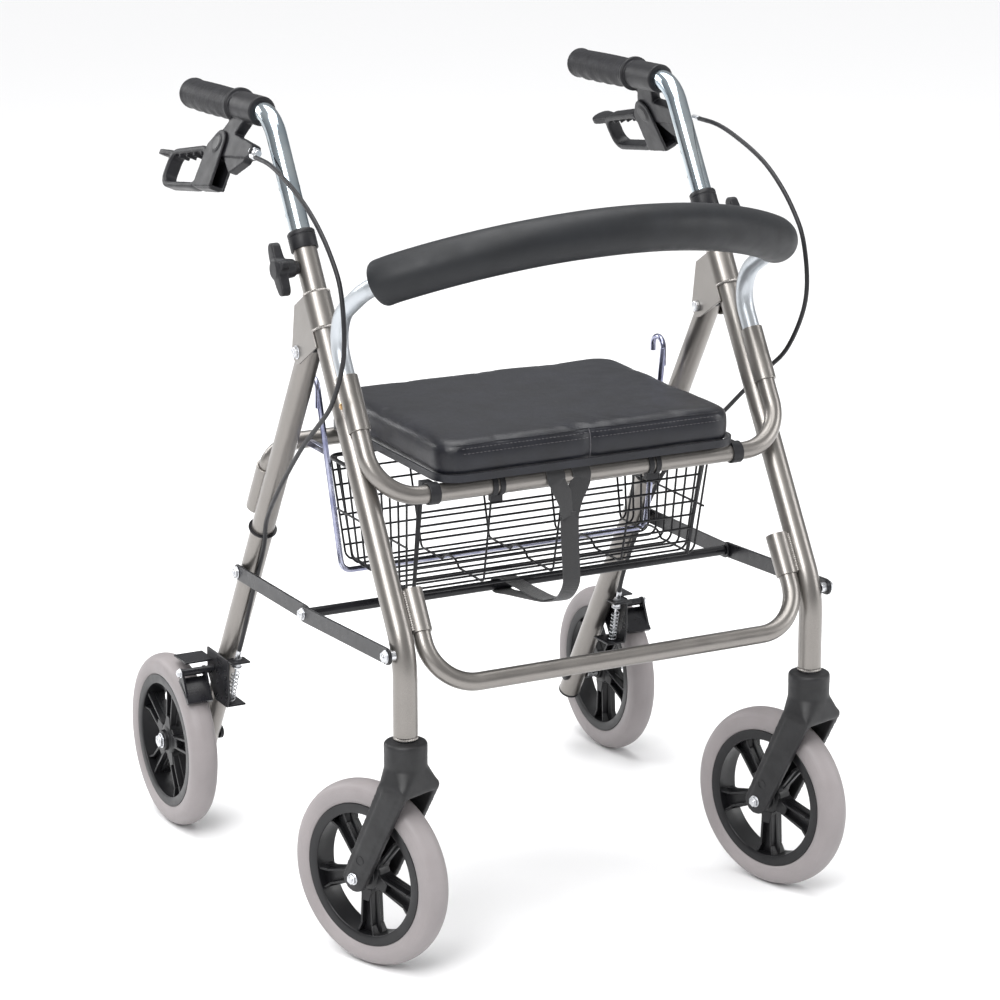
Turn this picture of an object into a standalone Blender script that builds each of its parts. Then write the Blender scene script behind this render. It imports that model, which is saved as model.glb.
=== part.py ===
"""Four-wheeled folding rollator walker: aluminium frame, swivel front casters, seat, basket, backrest.

Metres, +Z up. The front (casters, backrest) faces -Y, the handles are at +Y, and X is across.
The origin is on the floor under the middle of the bounding box.
"""

import math

import bmesh
import bpy
from mathutils import Matrix, Vector

GAP = 0.0003

# Frame tubes
LEG_X = 0.242
LEG_RADIUS = 0.0127
LEG_WALL = 0.0013
LEG_SLANT = math.radians(31.6)
LEG_BEND_Y = -0.2845
LEG_BEND_Z = 0.3465
LEG_BEND_RADIUS = 0.10
LEG_BOTTOM_Z = 0.2605
LEG_LENGTH = 0.452
CROSS_TUBE_RADIUS = 0.0095
CROSS_TUBE_WALL = 0.0015
CROSS_BEND_RADIUS = 0.05
SOCKET_RADIUS = 0.0118
SOCKET_OFFSET = LEG_RADIUS + SOCKET_RADIUS - 0.0007
SEAT_SOCKET = (0.231, 0.291)
LOWER_SOCKET = (0.020, 0.066)
SEAT_RUN = 0.157
LOWER_RUN = -0.039

# Fold pivot, rear legs
PIVOT_Y = -0.0626
PIVOT_Z = 0.6158
REAR_SLANT = math.radians(30.3)
REAR_LEG_ABOVE = 0.010
REAR_LEG_BELOW_AXLE = 0.031
REAR_SOCKET = (0.190, 0.252)
REAR_RUN = 0.1566
REAR_BEND_RADIUS = 0.032
BOLT_RADIUS = 0.0040
BRACKET_PLATE = 0.0022
BRACKET_SPAN = (0.333, 0.398)

# Wheels
WHEEL_RADIUS = 0.100
TYRE_WIDTH = 0.032
TYRE_INNER = 0.0769
RIM_RADIUS = 0.0765
SPOKES = 5
REAR_WHEEL_X = 0.2843
REAR_AXLE_Y = 0.2387
AXLE_RADIUS = 0.0060
CASTER_X = LEG_X
CASTER_Y = LEG_BEND_Y
CASTER_TRAIL = 0.049
CASTER_TURN = {-1: math.radians(21.7), 1: math.radians(16.9)}
FORK_TOP_Z = 0.2550
FORK_HALF = 0.0290
FORK_ARM = 0.0090

# Folding links and the cross rod that joins them
LINK_FRONT = (-0.2840, 0.3475)
LINK_REAR = (0.1029, 0.3325)
LINK_MID = (-0.0790, 0.3355)
LINK_HALF_WIDTH = 0.0088
LINK_THICKNESS = 0.0030
REAR_LINK_X = 0.2565
FRONT_LINK_X = 0.2600
ROD_RADIUS = 0.0055

# Handles and brakes
HANDLE_RADIUS = 0.0111
HANDLE_WALL = 0.0015
HANDLE_START = 0.300
HANDLE_CORNER = 0.5934
HANDLE_END_Y = 0.234
HANDLE_DROP = math.radians(2.1)
HANDLE_BEND_RADIUS = 0.045
GRIP_Y = (0.1130, 0.2440)
GRIP_RADIUS = 0.0165
CLAMP_Y = 0.080
BRAKE_ROLL = math.radians(24.5)
LEVER_PIVOT = (0.029, -0.046)
CABLE_RADIUS = 0.0027
SHOE_PIVOT = (0.1780, 0.1990)
KNOB_ALONG_LEG = 0.4218

# Seat, backrest, basket
SEAT_HALF_WIDTH = 0.178
SEAT_FRONT_Y = -0.242
SEAT_REAR_Y = 0.045
SEAT_BOTTOM_Z = 0.5075
SEAT_TOP_Z = 0.548
BOARD_BOTTOM_Z = 0.5030
BOARD_INSET = 0.014
BACK_PLANE = 0.351
BACK_BOW = -0.221
BACK_RADIUS = 0.360
BACK_CORNER_RADIUS = 0.060
FOAM_RADIUS = 0.0245
FOAM_CORNER = math.radians(58)
BASKET_TOP = (0.183, -0.176, 0.030, 0.475)
BASKET_FLOOR = (0.176, -0.151, 0.000, 0.361)
BASKET_WALL = 0.003
BAIL_WIRE = 0.0032
STRAP_X = -0.026

X_AXIS = Vector((1, 0, 0))
Z_AXIS = Vector((0, 0, 1))
ALONG_LEG = Vector((0, math.sin(LEG_SLANT), math.cos(LEG_SLANT)))
BEHIND_LEG = Vector((0, math.cos(LEG_SLANT), -math.sin(LEG_SLANT)))
DOWN_REAR_LEG = Vector((0, math.sin(REAR_SLANT), -math.cos(REAR_SLANT)))
BEHIND_REAR_LEG = Vector((0, math.cos(REAR_SLANT), math.sin(REAR_SLANT)))
SIDES = {-1: "left", 1: "right"}

LOOKS = {
    "frame_paint": ((0.42, 0.40, 0.385), 0.38, 0.8),
    "chrome": ((0.72, 0.75, 0.78), 0.15, 1.0),
    "zinc": ((0.62, 0.63, 0.65), 0.35, 1.0),
    "black_plastic": ((0.022, 0.022, 0.025), 0.5, 0.0),
    "black_steel": ((0.02, 0.02, 0.024), 0.35, 0.4),
    "bar_grey": ((0.47, 0.50, 0.53), 0.35, 0.6),
    "tyre_grey": ((0.33, 0.31, 0.32), 0.6, 0.0),
    "foam": ((0.03, 0.03, 0.033), 0.8, 0.0),
    "vinyl": ((0.03, 0.032, 0.04), 0.35, 0.0),
    "board": ((0.02, 0.02, 0.02), 0.7, 0.0),
    "webbing": ((0.015, 0.015, 0.017), 0.8, 0.0),
}


def clear_scene():
    for old in list(bpy.data.objects):
        bpy.data.objects.remove(old, do_unlink=True)


def material(look):
    found = bpy.data.materials.get(look)
    if found:
        return found
    colour, roughness, metallic = LOOKS[look]
    made = bpy.data.materials.new(look)
    made.use_nodes = True
    shader = made.node_tree.nodes["Principled BSDF"]
    shader.inputs["Base Color"].default_value = (*colour, 1)
    shader.inputs["Roughness"].default_value = roughness
    shader.inputs["Metallic"].default_value = metallic
    return made


# ---- shapes: each function returns (points, faces) ----


def filleted(corners, radius, steps=5):
    """A polyline whose inner corners are rounded to arcs."""
    corners = [Vector(c) for c in corners]
    path = [corners[0]]
    for before, corner, after in zip(corners, corners[1:], corners[2:]):
        back = (before - corner).normalized()
        ahead = (after - corner).normalized()
        half_angle = back.angle(ahead) / 2
        centre = corner + (back + ahead).normalized() * (radius / math.sin(half_angle))
        first = corner + back * (radius / math.tan(half_angle)) - centre
        last = corner + ahead * (radius / math.tan(half_angle)) - centre
        turn = first.angle(last)
        for step in range(steps + 1):
            share = step / steps
            blend = first * math.sin((1 - share) * turn) + last * math.sin(share * turn)
            path.append(centre + blend / math.sin(turn))
    return path + [corners[-1]]


def tangents(path, closed=False):
    count = len(path)
    found = []
    for i in range(count):
        before = path[i - 1] if closed or i > 0 else path[i]
        after = path[(i + 1) % count] if closed or i < count - 1 else path[i]
        found.append((after - before).normalized())
    return found


def ring_faces(first, second, count):
    return [
        (first + i, first + (i + 1) % count, second + (i + 1) % count, second + i)
        for i in range(count)
    ]


def swept(path, section, binormal, closed=False, hollow=None):
    """Sweeps a closed section [(across, side), ...] along a planar path; hollow is an inner section."""
    path = [Vector(p) for p in path]
    across = Vector(binormal).normalized()
    points = []
    faces = []
    count = len(section)
    layers = [section] if hollow is None else [section, hollow]
    starts = []
    for layer in layers:
        starts.append(len(points))
        for place, along in zip(path, tangents(path, closed)):
            side = along.cross(across).normalized()
            points += [place + across * a + side * b for a, b in layer]
        for i in range(len(path) - (0 if closed else 1)):
            first = starts[-1] + i * count
            second = starts[-1] + ((i + 1) % len(path)) * count
            faces += ring_faces(first, second, count)
    if closed:
        return points, faces
    end = (len(path) - 1) * count
    if hollow is None:
        faces += [tuple(range(count)), tuple(range(end, end + count))]
    else:
        faces += ring_faces(starts[0], starts[1], count)
        faces += ring_faces(starts[0] + end, starts[1] + end, count)
    return points, faces


def circle(radius, sides=16):
    return [
        (radius * math.cos(2 * math.pi * (i + 0.5) / sides), radius * math.sin(2 * math.pi * (i + 0.5) / sides))
        for i in range(sides)
    ]


def tube(path, radius, wall=0.0, binormal=X_AXIS, sides=16):
    inner = circle(radius - wall, sides) if wall else None
    return swept(path, circle(radius, sides), binormal, hollow=inner)


def turned(profile, axis=X_AXIS, centre=(0, 0, 0), sides=16, ring=False):
    """Turns [(radius, distance along the axis), ...] about an axis; ring joins its last point to its first."""
    axis = Vector(axis).normalized()
    centre = Vector(centre)
    across = (Z_AXIS if abs(axis.x) > 0.5 else X_AXIS).cross(axis).normalized()
    side = axis.cross(across)
    points = []
    rows = []
    for radius, along in profile:
        base = centre + axis * along
        rows.append((len(points), 1 if radius == 0 else sides))
        if radius == 0:
            points.append(base)
            continue
        for a, b in circle(radius, sides):
            points.append(base + across * a + side * b)
    pairs = list(zip(rows, rows[1:]))
    if ring:
        pairs.append((rows[-1], rows[0]))
    faces = []
    for (first, first_count), (second, second_count) in pairs:
        if first_count == 1:
            faces += [(first, second + i, second + (i + 1) % sides) for i in range(sides)]
        elif second_count == 1:
            faces += [(second, first + i, first + (i + 1) % sides) for i in range(sides)]
        else:
            faces += ring_faces(first, second, sides)
    if not ring:
        for start, count in (rows[0], rows[-1]):
            if count > 1:
                faces.append(tuple(range(start, start + count)))
    return points, faces


def hull(points):
    """The convex solid round a set of points."""
    mesh = bmesh.new()
    for p in points:
        mesh.verts.new(p)
    made = bmesh.ops.convex_hull(mesh, input=mesh.verts)
    spare = {v for v in made["geom_interior"] + made["geom_unused"] if isinstance(v, bmesh.types.BMVert)}
    bmesh.ops.delete(mesh, geom=list(spare), context="VERTS")
    bmesh.ops.dissolve_limit(mesh, angle_limit=0.001, verts=mesh.verts, edges=mesh.edges)
    mesh.verts.index_update()
    shape = ([v.co.copy() for v in mesh.verts], [tuple(v.index for v in f.verts) for f in mesh.faces])
    mesh.free()
    return shape


def disc_points(y, z, radius, x_values, sides=12):
    return [(x, y + a, z + b) for x in x_values for a, b in circle(radius, sides)]


def box_points(low, high):
    return [(x, y, z) for x in (low[0], high[0]) for y in (low[1], high[1]) for z in (low[2], high[2])]


def rounded_slab(half_width, front, rear, bottom, top, radius, crown=0.0, steps=4):
    """A flat slab with rounded corners in plan and, with crown, a chamfered upper and lower rim."""
    outline = []
    for cx, cy, start in (
        (half_width - radius, rear - radius, 0),
        (radius - half_width, rear - radius, 90),
        (radius - half_width, front + radius, 180),
        (half_width - radius, front + radius, 270),
    ):
        for step in range(steps + 1):
            angle = math.radians(start + 90 * step / steps)
            outline.append((cx, cy, math.cos(angle), math.sin(angle)))
    levels = [(bottom, radius - crown), (bottom + crown, radius), (top - crown, radius), (top, radius - crown)]
    if not crown:
        levels = [(bottom, radius), (top, radius)]
    points = [(cx + ca * reach, cy + sa * reach, z) for z, reach in levels for cx, cy, ca, sa in outline]
    count = len(outline)
    faces = []
    for level in range(len(levels) - 1):
        faces += ring_faces(level * count, (level + 1) * count, count)
    last = (len(levels) - 1) * count
    return points, faces + [tuple(range(count)), tuple(range(last, last + count))]


# ---- objects ----


def add(name, shape, look, origin=(0, 0, 0), frame=None):
    """Makes an object from world points about its origin, or from local points placed by frame."""
    points, faces = shape
    placed = frame if frame is not None else Matrix.Translation(Vector(origin))
    shift = Vector((0, 0, 0)) if frame is not None else Vector(origin)
    mesh = bpy.data.meshes.new(name)
    mesh.from_pydata([Vector(p) - shift for p in points], [], faces)
    work = bmesh.new()
    work.from_mesh(mesh)
    bmesh.ops.recalc_face_normals(work, faces=work.faces)
    work.to_mesh(mesh)
    work.free()
    mesh.shade_smooth()
    mesh.set_sharp_from_angle(angle=math.radians(35))
    mesh.materials.append(material(look))
    made = bpy.data.objects.new(name, mesh)
    bpy.context.collection.objects.link(made)
    made.matrix_world = placed
    return made


def combine(target, shape, operation):
    """Joins or cuts the target with a hidden helper made in the target's own frame."""
    helper = add(f"{target.name}_{operation.lower()}_{len(target.modifiers)}", shape, "zinc", frame=Matrix())
    helper.matrix_world = target.matrix_world if target.get("local") else Matrix()
    helper.hide_render = True
    helper.display_type = "WIRE"
    boolean = target.modifiers.new(helper.name, "BOOLEAN")
    boolean.operation = operation
    boolean.object = helper
    return target


def join(target, shape):
    return combine(target, shape, "UNION")


def cut(target, shape):
    return combine(target, shape, "DIFFERENCE")


def local_part(name, shape, look, frame):
    made = add(name, shape, look, frame=frame)
    made["local"] = True
    return made


def pin_shape(radius, x_low, x_high, y, z, sides=12):
    return turned([(radius, x_low), (radius, x_high)], X_AXIS, (0, y, z), sides)


# ---- places on the frame ----


def on_front_leg(x, along, behind=0.0):
    return Vector((x, LEG_BEND_Y, LEG_BEND_Z)) + ALONG_LEG * along + BEHIND_LEG * behind


def on_rear_leg(x, down, behind=0.0):
    return Vector((x, PIVOT_Y, PIVOT_Z)) + DOWN_REAR_LEG * down + BEHIND_REAR_LEG * behind


REAR_LEG_TO_AXLE = (PIVOT_Z - WHEEL_RADIUS) / math.cos(REAR_SLANT)
HANDLE_AHEAD = Vector((0, math.cos(HANDLE_DROP), -math.sin(HANDLE_DROP)))


def on_handle(x, y):
    """The point of the handle's level stretch at this y."""
    corner = on_front_leg(x, HANDLE_CORNER)
    return corner + HANDLE_AHEAD * ((y - corner.y) / HANDLE_AHEAD.y)


def barrel(start, end, binormal, bore):
    return tube([start, end], SOCKET_RADIUS, SOCKET_RADIUS - bore, binormal)


# ---- front frame ----


def front_leg(side):
    x = side * LEG_X
    top = on_front_leg(x, LEG_LENGTH)
    bend = on_front_leg(x, 0)
    path = filleted([(x, LEG_BEND_Y, LEG_BOTTOM_Z), bend, top], LEG_BEND_RADIUS)
    leg = add(f"front_leg_{SIDES[side]}", tube(path, LEG_RADIUS, LEG_WALL), "frame_paint")
    bore = CROSS_TUBE_RADIUS + GAP
    low, high = SEAT_SOCKET
    ends = [on_front_leg(x, low, -SOCKET_OFFSET), on_front_leg(x, high, -SOCKET_OFFSET)]
    join(leg, barrel(*ends, BEHIND_LEG, bore))
    inboard = x - side * SOCKET_OFFSET
    low, high = LOWER_SOCKET
    join(leg, barrel(on_front_leg(inboard, low), on_front_leg(inboard, high), BEHIND_LEG, bore))
    outer = sorted((side * 0.2480, side * 0.2700))
    cut(leg, pin_shape(0.0036, *outer, *LINK_FRONT))
    return leg


def cross_tube(name, x_end, along_end, along_run, offset):
    """A U-shaped tube whose ends stand in two sockets and whose run crosses the frame."""
    corners = [
        on_front_leg(-x_end, along_end, offset),
        on_front_leg(-x_end, along_run, offset),
        on_front_leg(x_end, along_run, offset),
        on_front_leg(x_end, along_end, offset),
    ]
    path = filleted(corners, CROSS_BEND_RADIUS)
    shape = tube(path, CROSS_TUBE_RADIUS, CROSS_TUBE_WALL, BEHIND_LEG, 12)
    return add(name, shape, "frame_paint")


def fold_bracket(side):
    """A folded plate: it wraps the front of the leg and reaches back to the fold pivot on both sides."""
    x = side * LEG_X
    inner = LEG_RADIUS + GAP
    outer = inner + BRACKET_PLATE
    low, high = BRACKET_SPAN
    pivot_along = (Vector((0, PIVOT_Y, PIVOT_Z)) - on_front_leg(0, 0)).dot(ALONG_LEG)
    pivot_behind = (Vector((0, PIVOT_Y, PIVOT_Z)) - on_front_leg(0, 0)).dot(BEHIND_LEG)
    end_radius = 0.0125
    arc_steps = 8
    points = []
    rows = 9
    for row in range(rows):
        along = low + (high - low) * row / (rows - 1)
        off = along - pivot_along
        if off < end_radius * 0.6:
            reach = pivot_behind + math.sqrt(max(end_radius**2 - off**2, 1e-6))
        else:
            reach = pivot_behind + 0.010 - (off - end_radius * 0.6) * 0.85
        section = [(outer, reach)]
        for step in range(arc_steps + 1):
            angle = math.pi * step / arc_steps
            section.append((outer * math.cos(angle), -outer * math.sin(angle)))
        section += [(-outer, reach), (-inner, reach)]
        for step in range(arc_steps + 1):
            angle = math.pi * (1 - step / arc_steps)
            section.append((inner * math.cos(angle), -inner * math.sin(angle)))
        section.append((inner, reach))
        points += [on_front_leg(x + across, along, behind) for across, behind in section]
    count = len(section)
    faces = []
    for row in range(rows - 1):
        faces += ring_faces(row * count, (row + 1) * count, count)
    faces += [tuple(range(count)), tuple(range((rows - 1) * count, rows * count))]
    bracket = add(f"fold_bracket_{SIDES[side]}", (points, faces), "frame_paint")
    hole = sorted((side * 0.2200, side * 0.2640))
    return cut(bracket, pin_shape(BOLT_RADIUS + GAP, *hole, PIVOT_Y, PIVOT_Z))


def leg_collar(side):
    low = LEG_LENGTH - 0.012
    high = LEG_LENGTH + 0.0085
    wide = LEG_RADIUS + GAP
    narrow = HANDLE_RADIUS + GAP
    outer = LEG_RADIUS + 0.0021
    profile = [
        (wide, low),
        (outer, low),
        (outer, high - 0.002),
        (outer - 0.0015, high),
        (narrow, high),
        (narrow, LEG_LENGTH + GAP),
        (wide, LEG_LENGTH + GAP),
    ]
    shape = turned(profile, ALONG_LEG, on_front_leg(side * LEG_X, 0), ring=True)
    add(f"leg_collar_{SIDES[side]}", shape, "black_plastic")


def backrest_path():
    """Half of the bar, from its middle to its end in the seat socket, as (x, along, behind) stations."""
    straight = BACK_RADIUS - BACK_CORNER_RADIUS
    turn = math.asin((LEG_X - BACK_CORNER_RADIUS) / straight)
    stations = []
    for step in range(9):
        angle = turn * step / 8
        stations.append((BACK_RADIUS * math.sin(angle), BACK_BOW + BACK_RADIUS * (1 - math.cos(angle))))
    x_arc, behind_arc = stations[-1]
    for step in range(1, 8):
        angle = turn + (math.pi / 2 - turn) * step / 7
        across = x_arc + BACK_CORNER_RADIUS * (math.sin(angle) - math.sin(turn))
        stations.append((across, behind_arc + BACK_CORNER_RADIUS * (math.cos(turn) - math.cos(angle))))
    return stations, turn


def backrest():
    stations, turn = backrest_path()
    level = [on_front_leg(x, BACK_PLANE, behind) for x, behind in stations]
    down_bend = filleted(
        [level[-1], on_front_leg(LEG_X, BACK_PLANE, -SOCKET_OFFSET), on_front_leg(LEG_X, 0.264, -SOCKET_OFFSET)],
        0.042,
    )
    half = level + down_bend[1:]
    mirror = [Vector((-p.x, p.y, p.z)) for p in half[:0:-1]]
    path = mirror + half
    # The bar bends in two planes, so its rings follow the path with the least twist.
    add("backrest_bar", twistless(path, CROSS_TUBE_RADIUS, CROSS_TUBE_WALL), "bar_grey")
    straight_count = 9
    covered = 0
    for step in range(1, 8):
        if turn + (math.pi / 2 - turn) * step / 7 <= FOAM_CORNER:
            covered = step
    foam_half = level[: straight_count + covered]
    foam_path = [Vector((-p.x, p.y, p.z)) for p in foam_half[:0:-1]] + foam_half
    inner = circle(CROSS_TUBE_RADIUS + GAP * 2, 16)
    shape = swept(foam_path, circle(FOAM_RADIUS, 16), ALONG_LEG, hollow=inner)
    add("backrest_foam", shape, "foam")


def twistless(path, radius, wall, sides=12):
    """A tube on a path that leaves its plane: the section turns only as far as the path bends."""
    along = tangents(path)
    across = ALONG_LEG.copy()
    middle = len(path) // 2
    frames = {middle: across - along[middle] * across.dot(along[middle])}
    for i in range(middle + 1, len(path)):
        frames[i] = along[i - 1].rotation_difference(along[i]) @ frames[i - 1]
    for i in range(middle - 1, -1, -1):
        frames[i] = along[i + 1].rotation_difference(along[i]) @ frames[i + 1]
    points = []
    faces = []
    starts = []
    for size in (radius, radius - wall):
        starts.append(len(points))
        for i, place in enumerate(path):
            first = frames[i].normalized()
            second = along[i].cross(first).normalized()
            points += [place + first * a + second * b for a, b in circle(size, sides)]
        for i in range(len(path) - 1):
            base = starts[-1] + i * sides
            faces += ring_faces(base, base + sides, sides)
    end = (len(path) - 1) * sides
    faces += ring_faces(starts[0], starts[1], sides)
    faces += ring_faces(starts[0] + end, starts[1] + end, sides)
    return points, faces


# ---- rear frame ----


def rear_leg(side):
    x = side * LEG_X
    top = on_rear_leg(x, -REAR_LEG_ABOVE)
    bottom = on_rear_leg(x, REAR_LEG_TO_AXLE + REAR_LEG_BELOW_AXLE)
    leg = add(f"rear_leg_{SIDES[side]}", tube([top, bottom], LEG_RADIUS, LEG_WALL), "frame_paint")
    low, high = REAR_SOCKET
    ends = [on_rear_leg(x, low, SOCKET_OFFSET), on_rear_leg(x, high, SOCKET_OFFSET)]
    join(leg, barrel(*ends, BEHIND_REAR_LEG, CROSS_TUBE_RADIUS + GAP))
    through = sorted((side * 0.2200, side * 0.2640))
    cut(leg, pin_shape(BOLT_RADIUS + GAP, *through, PIVOT_Y, PIVOT_Z))
    cut(leg, pin_shape(AXLE_RADIUS + GAP, *through, REAR_AXLE_Y, WHEEL_RADIUS))
    outer = sorted((side * 0.2480, side * 0.2700))
    return cut(leg, pin_shape(0.0036, *outer, *LINK_REAR))


def rear_seat_tube():
    corners = [
        on_rear_leg(-LEG_X, 0.222, SOCKET_OFFSET),
        on_rear_leg(-LEG_X, REAR_RUN, SOCKET_OFFSET),
        on_rear_leg(LEG_X, REAR_RUN, SOCKET_OFFSET),
        on_rear_leg(LEG_X, 0.222, SOCKET_OFFSET),
    ]
    path = filleted(corners, REAR_BEND_RADIUS)
    add("rear_seat_tube", tube(path, CROSS_TUBE_RADIUS, CROSS_TUBE_WALL, BEHIND_REAR_LEG, 12), "frame_paint")


def headed_pin(name, look, side, stations, y, z):
    """A turned pin across the frame; stations are (radius, distance outward from the middle plane)."""
    profile = [(radius, side * x) for radius, x in stations]
    add(name, turned(profile, X_AXIS, (0, y, z), 12), look)


def fold_pivot_bolt(side):
    face = LEG_RADIUS + GAP + BRACKET_PLATE + GAP
    head = 0.0042
    stations = [
        (0.0060, LEG_X - face - head),
        (0.0060, LEG_X - face),
        (BOLT_RADIUS, LEG_X - face),
        (BOLT_RADIUS, LEG_X + face),
        (0.0066, LEG_X + face),
        (0.0066, LEG_X + face + head),
    ]
    headed_pin(f"fold_pivot_bolt_{SIDES[side]}", "zinc", side, stations, PIVOT_Y, PIVOT_Z)


def rear_axle(side):
    inside = LEG_X - LEG_RADIUS - GAP
    outside = LEG_X + LEG_RADIUS + GAP
    stations = [
        (0.0085, inside - 0.0045),
        (0.0085, inside),
        (AXLE_RADIUS, inside),
        (AXLE_RADIUS, outside),
        (0.0095, outside),
        (0.0095, REAR_WHEEL_X - 0.0163),
        (AXLE_RADIUS, REAR_WHEEL_X - 0.0163),
        (AXLE_RADIUS, REAR_WHEEL_X + 0.0163),
        (0.0085, REAR_WHEEL_X + 0.0163),
        (0.0085, REAR_WHEEL_X + 0.0215),
    ]
    headed_pin(f"rear_axle_{SIDES[side]}", "zinc", side, stations, REAR_AXLE_Y, WHEEL_RADIUS)


def basket_bail():
    """The chrome wire under the basket; its hooked ends stand up beside the seat."""
    top_x, top_y, top_z = 0.212, -0.015, 0.560
    low_x, low_y, low_z = 0.1885, -0.020, 0.3572
    corners = [(-top_x, top_y, top_z), (-low_x, low_y, low_z), (low_x, low_y, low_z), (top_x, top_y, top_z)]
    path = filleted(corners, 0.012, 3)
    wire = add("basket_bail", tube(path, BAIL_WIRE, 0, (0, 1, 0), 8), "chrome")
    run = on_rear_leg(0, REAR_RUN, SOCKET_OFFSET)
    share = (run.z - low_z) / (top_z - low_z)
    for side in SIDES:
        x = side * top_x
        hook_top = top_z + 0.011
        corners = [(x, top_y, top_z - 0.02), (x, top_y, hook_top), (x, top_y + 0.023, hook_top), (x, top_y + 0.023, top_z - 0.007)]
        hook = filleted(corners, 0.0113, 3)
        join(wire, tube(hook, BAIL_WIRE * 0.96, 0, X_AXIS, 8))
        lug_x = side * (low_x + share * (top_x - low_x))
        low = (lug_x - 0.0045, low_y + share * (top_y - low_y) - 0.001, run.z - 0.005)
        high = (lug_x + 0.0045, run.y - CROSS_TUBE_RADIUS - 0.0012, run.z + 0.004)
        join(wire, hull(box_points(low, high)))


# ---- wheels ----


def tyre_shape():
    half = TYRE_WIDTH / 2
    profile = [
        (TYRE_INNER, -half + 0.0030),
        (TYRE_INNER + 0.0100, -half),
        (WHEEL_RADIUS - 0.0075, -half + 0.0010),
        (WHEEL_RADIUS - 0.0022, -half + 0.0060),
        (WHEEL_RADIUS, -half + 0.0130),
    ]
    profile += [(radius, -along) for radius, along in reversed(profile)]
    sides = 32
    flat = 1 / math.cos(math.pi / sides)
    return turned([(radius * flat, along) for radius, along in profile], X_AXIS, (0, 0, 0), sides, ring=True)


def rim_shape():
    """A five-spoke disc: cells of a ring grid, left out where the windows are."""
    rings = [
        (AXLE_RADIUS + 0.0004, 0.0158),
        (0.0165, 0.0150),
        (0.0230, 0.0085),
        (0.0640, 0.0085),
        (0.0690, 0.0120),
        (RIM_RADIUS, 0.0125),
    ]
    per_spoke = 6
    total = SPOKES * per_spoke
    spoke_half = 0.0085
    first_window, last_window = 2, 3

    def kept(ring, sector):
        in_window = first_window <= ring < last_window
        return not in_window or sector % per_spoke < 2

    points = []
    for radius, half in rings:
        start = min(spoke_half / radius, 1.3 * math.pi / total * 2)
        for sector in range(total):
            step = sector % per_spoke
            spoke_angle = 2 * math.pi * (sector // per_spoke) / SPOKES
            if step < 3:
                angle = spoke_angle + (step - 1) * start
            else:
                share = (step - 2) / (per_spoke - 2)
                angle = spoke_angle + start + share * (2 * math.pi / SPOKES - 2 * start)
            for x in (-half, half):
                points.append((x, radius * math.sin(angle), radius * math.cos(angle)))

    def corner(ring, sector, top):
        return (ring * total + sector % total) * 2 + top

    faces = []
    cells = [(r, s) for r in range(len(rings) - 1) for s in range(total) if kept(r, s)]
    kept_cells = set(cells)
    for r, s in cells:
        for top in (0, 1):
            faces.append((corner(r, s, top), corner(r, s + 1, top), corner(r + 1, s + 1, top), corner(r + 1, s, top)))
        neighbours = (
            ((r - 1, s), (r, s), (r, s + 1)),
            ((r + 1, s), (r + 1, s), (r + 1, s + 1)),
            ((r, (s - 1) % total), (r, s), (r + 1, s)),
            ((r, (s + 1) % total), (r, s + 1), (r + 1, s + 1)),
        )
        for other, first, second in neighbours:
            if other not in kept_cells:
                faces.append((corner(*first, 0), corner(*second, 0), corner(*second, 1), corner(*first, 1)))
    return points, faces


def wheel(name, frame):
    local_part(f"{name}_tyre", tyre_shape(), "tyre_grey", frame)
    local_part(f"{name}_rim", rim_shape(), "black_plastic", frame)


def caster(side):
    """The fork in its own frame: the swivel axis is local Z through the origin, and the wheel trails at +Y."""
    name = f"caster_{SIDES[side]}"
    frame = Matrix.Translation((side * CASTER_X, CASTER_Y, 0)) @ Matrix.Rotation(CASTER_TURN[side], 4, "Z")
    neck = [
        (0.0225, 0.2100),
        (0.0225, 0.2440),
        (0.0213, 0.2446),
        (0.0225, 0.2452),
        (0.0225, FORK_TOP_Z - 0.0015),
        (0.0210, FORK_TOP_Z),
        (0.0085, FORK_TOP_Z),
        (0.0085, 0.2950),
    ]
    fork = local_part(f"{name}_fork", turned(neck, Z_AXIS), "black_plastic", frame)
    shoulder = ((-0.0235, 0.2050), (-0.0190, 0.1985), (0.0150, 0.2010), (0.0080, 0.2140))
    crown = [(FORK_HALF * arm, y, z) for arm in (-1, 1) for y, z in shoulder]
    crown += [(0.0222 * math.cos(a), 0.0222 * math.sin(a), 0.2300) for a in (math.pi * i / 8 for i in range(16))]
    join(fork, hull(crown))
    for arm in (-1, 1):
        x_pair = [arm * (FORK_HALF - FORK_ARM), arm * (FORK_HALF - 0.0004)]
        points = disc_points(CASTER_TRAIL, WHEEL_RADIUS, 0.0155, x_pair)
        points += [(x, y, z) for x in x_pair for y, z in shoulder]
        join(fork, hull(points))
    cut(fork, turned([(0.0043, -0.04), (0.0043, 0.04)], X_AXIS, (0, CASTER_TRAIL, WHEEL_RADIUS), 12))
    head = FORK_HALF + GAP
    bolt = [
        (0.0065, -head - 0.0050),
        (0.0065, -head),
        (0.0040, -head),
        (0.0040, head),
        (0.0065, head),
        (0.0065, head + 0.0050),
    ]
    hub = frame @ Matrix.Translation((0, CASTER_TRAIL, WHEEL_RADIUS))
    local_part(f"{name}_axle", turned(bolt, X_AXIS, (0, 0, 0), 12), "zinc", hub)
    wheel(name, hub)


def rear_wheel(side):
    wheel(f"rear_{SIDES[side]}", Matrix.Translation((side * REAR_WHEEL_X, REAR_AXLE_Y, WHEEL_RADIUS)))


# ---- folding links ----


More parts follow.
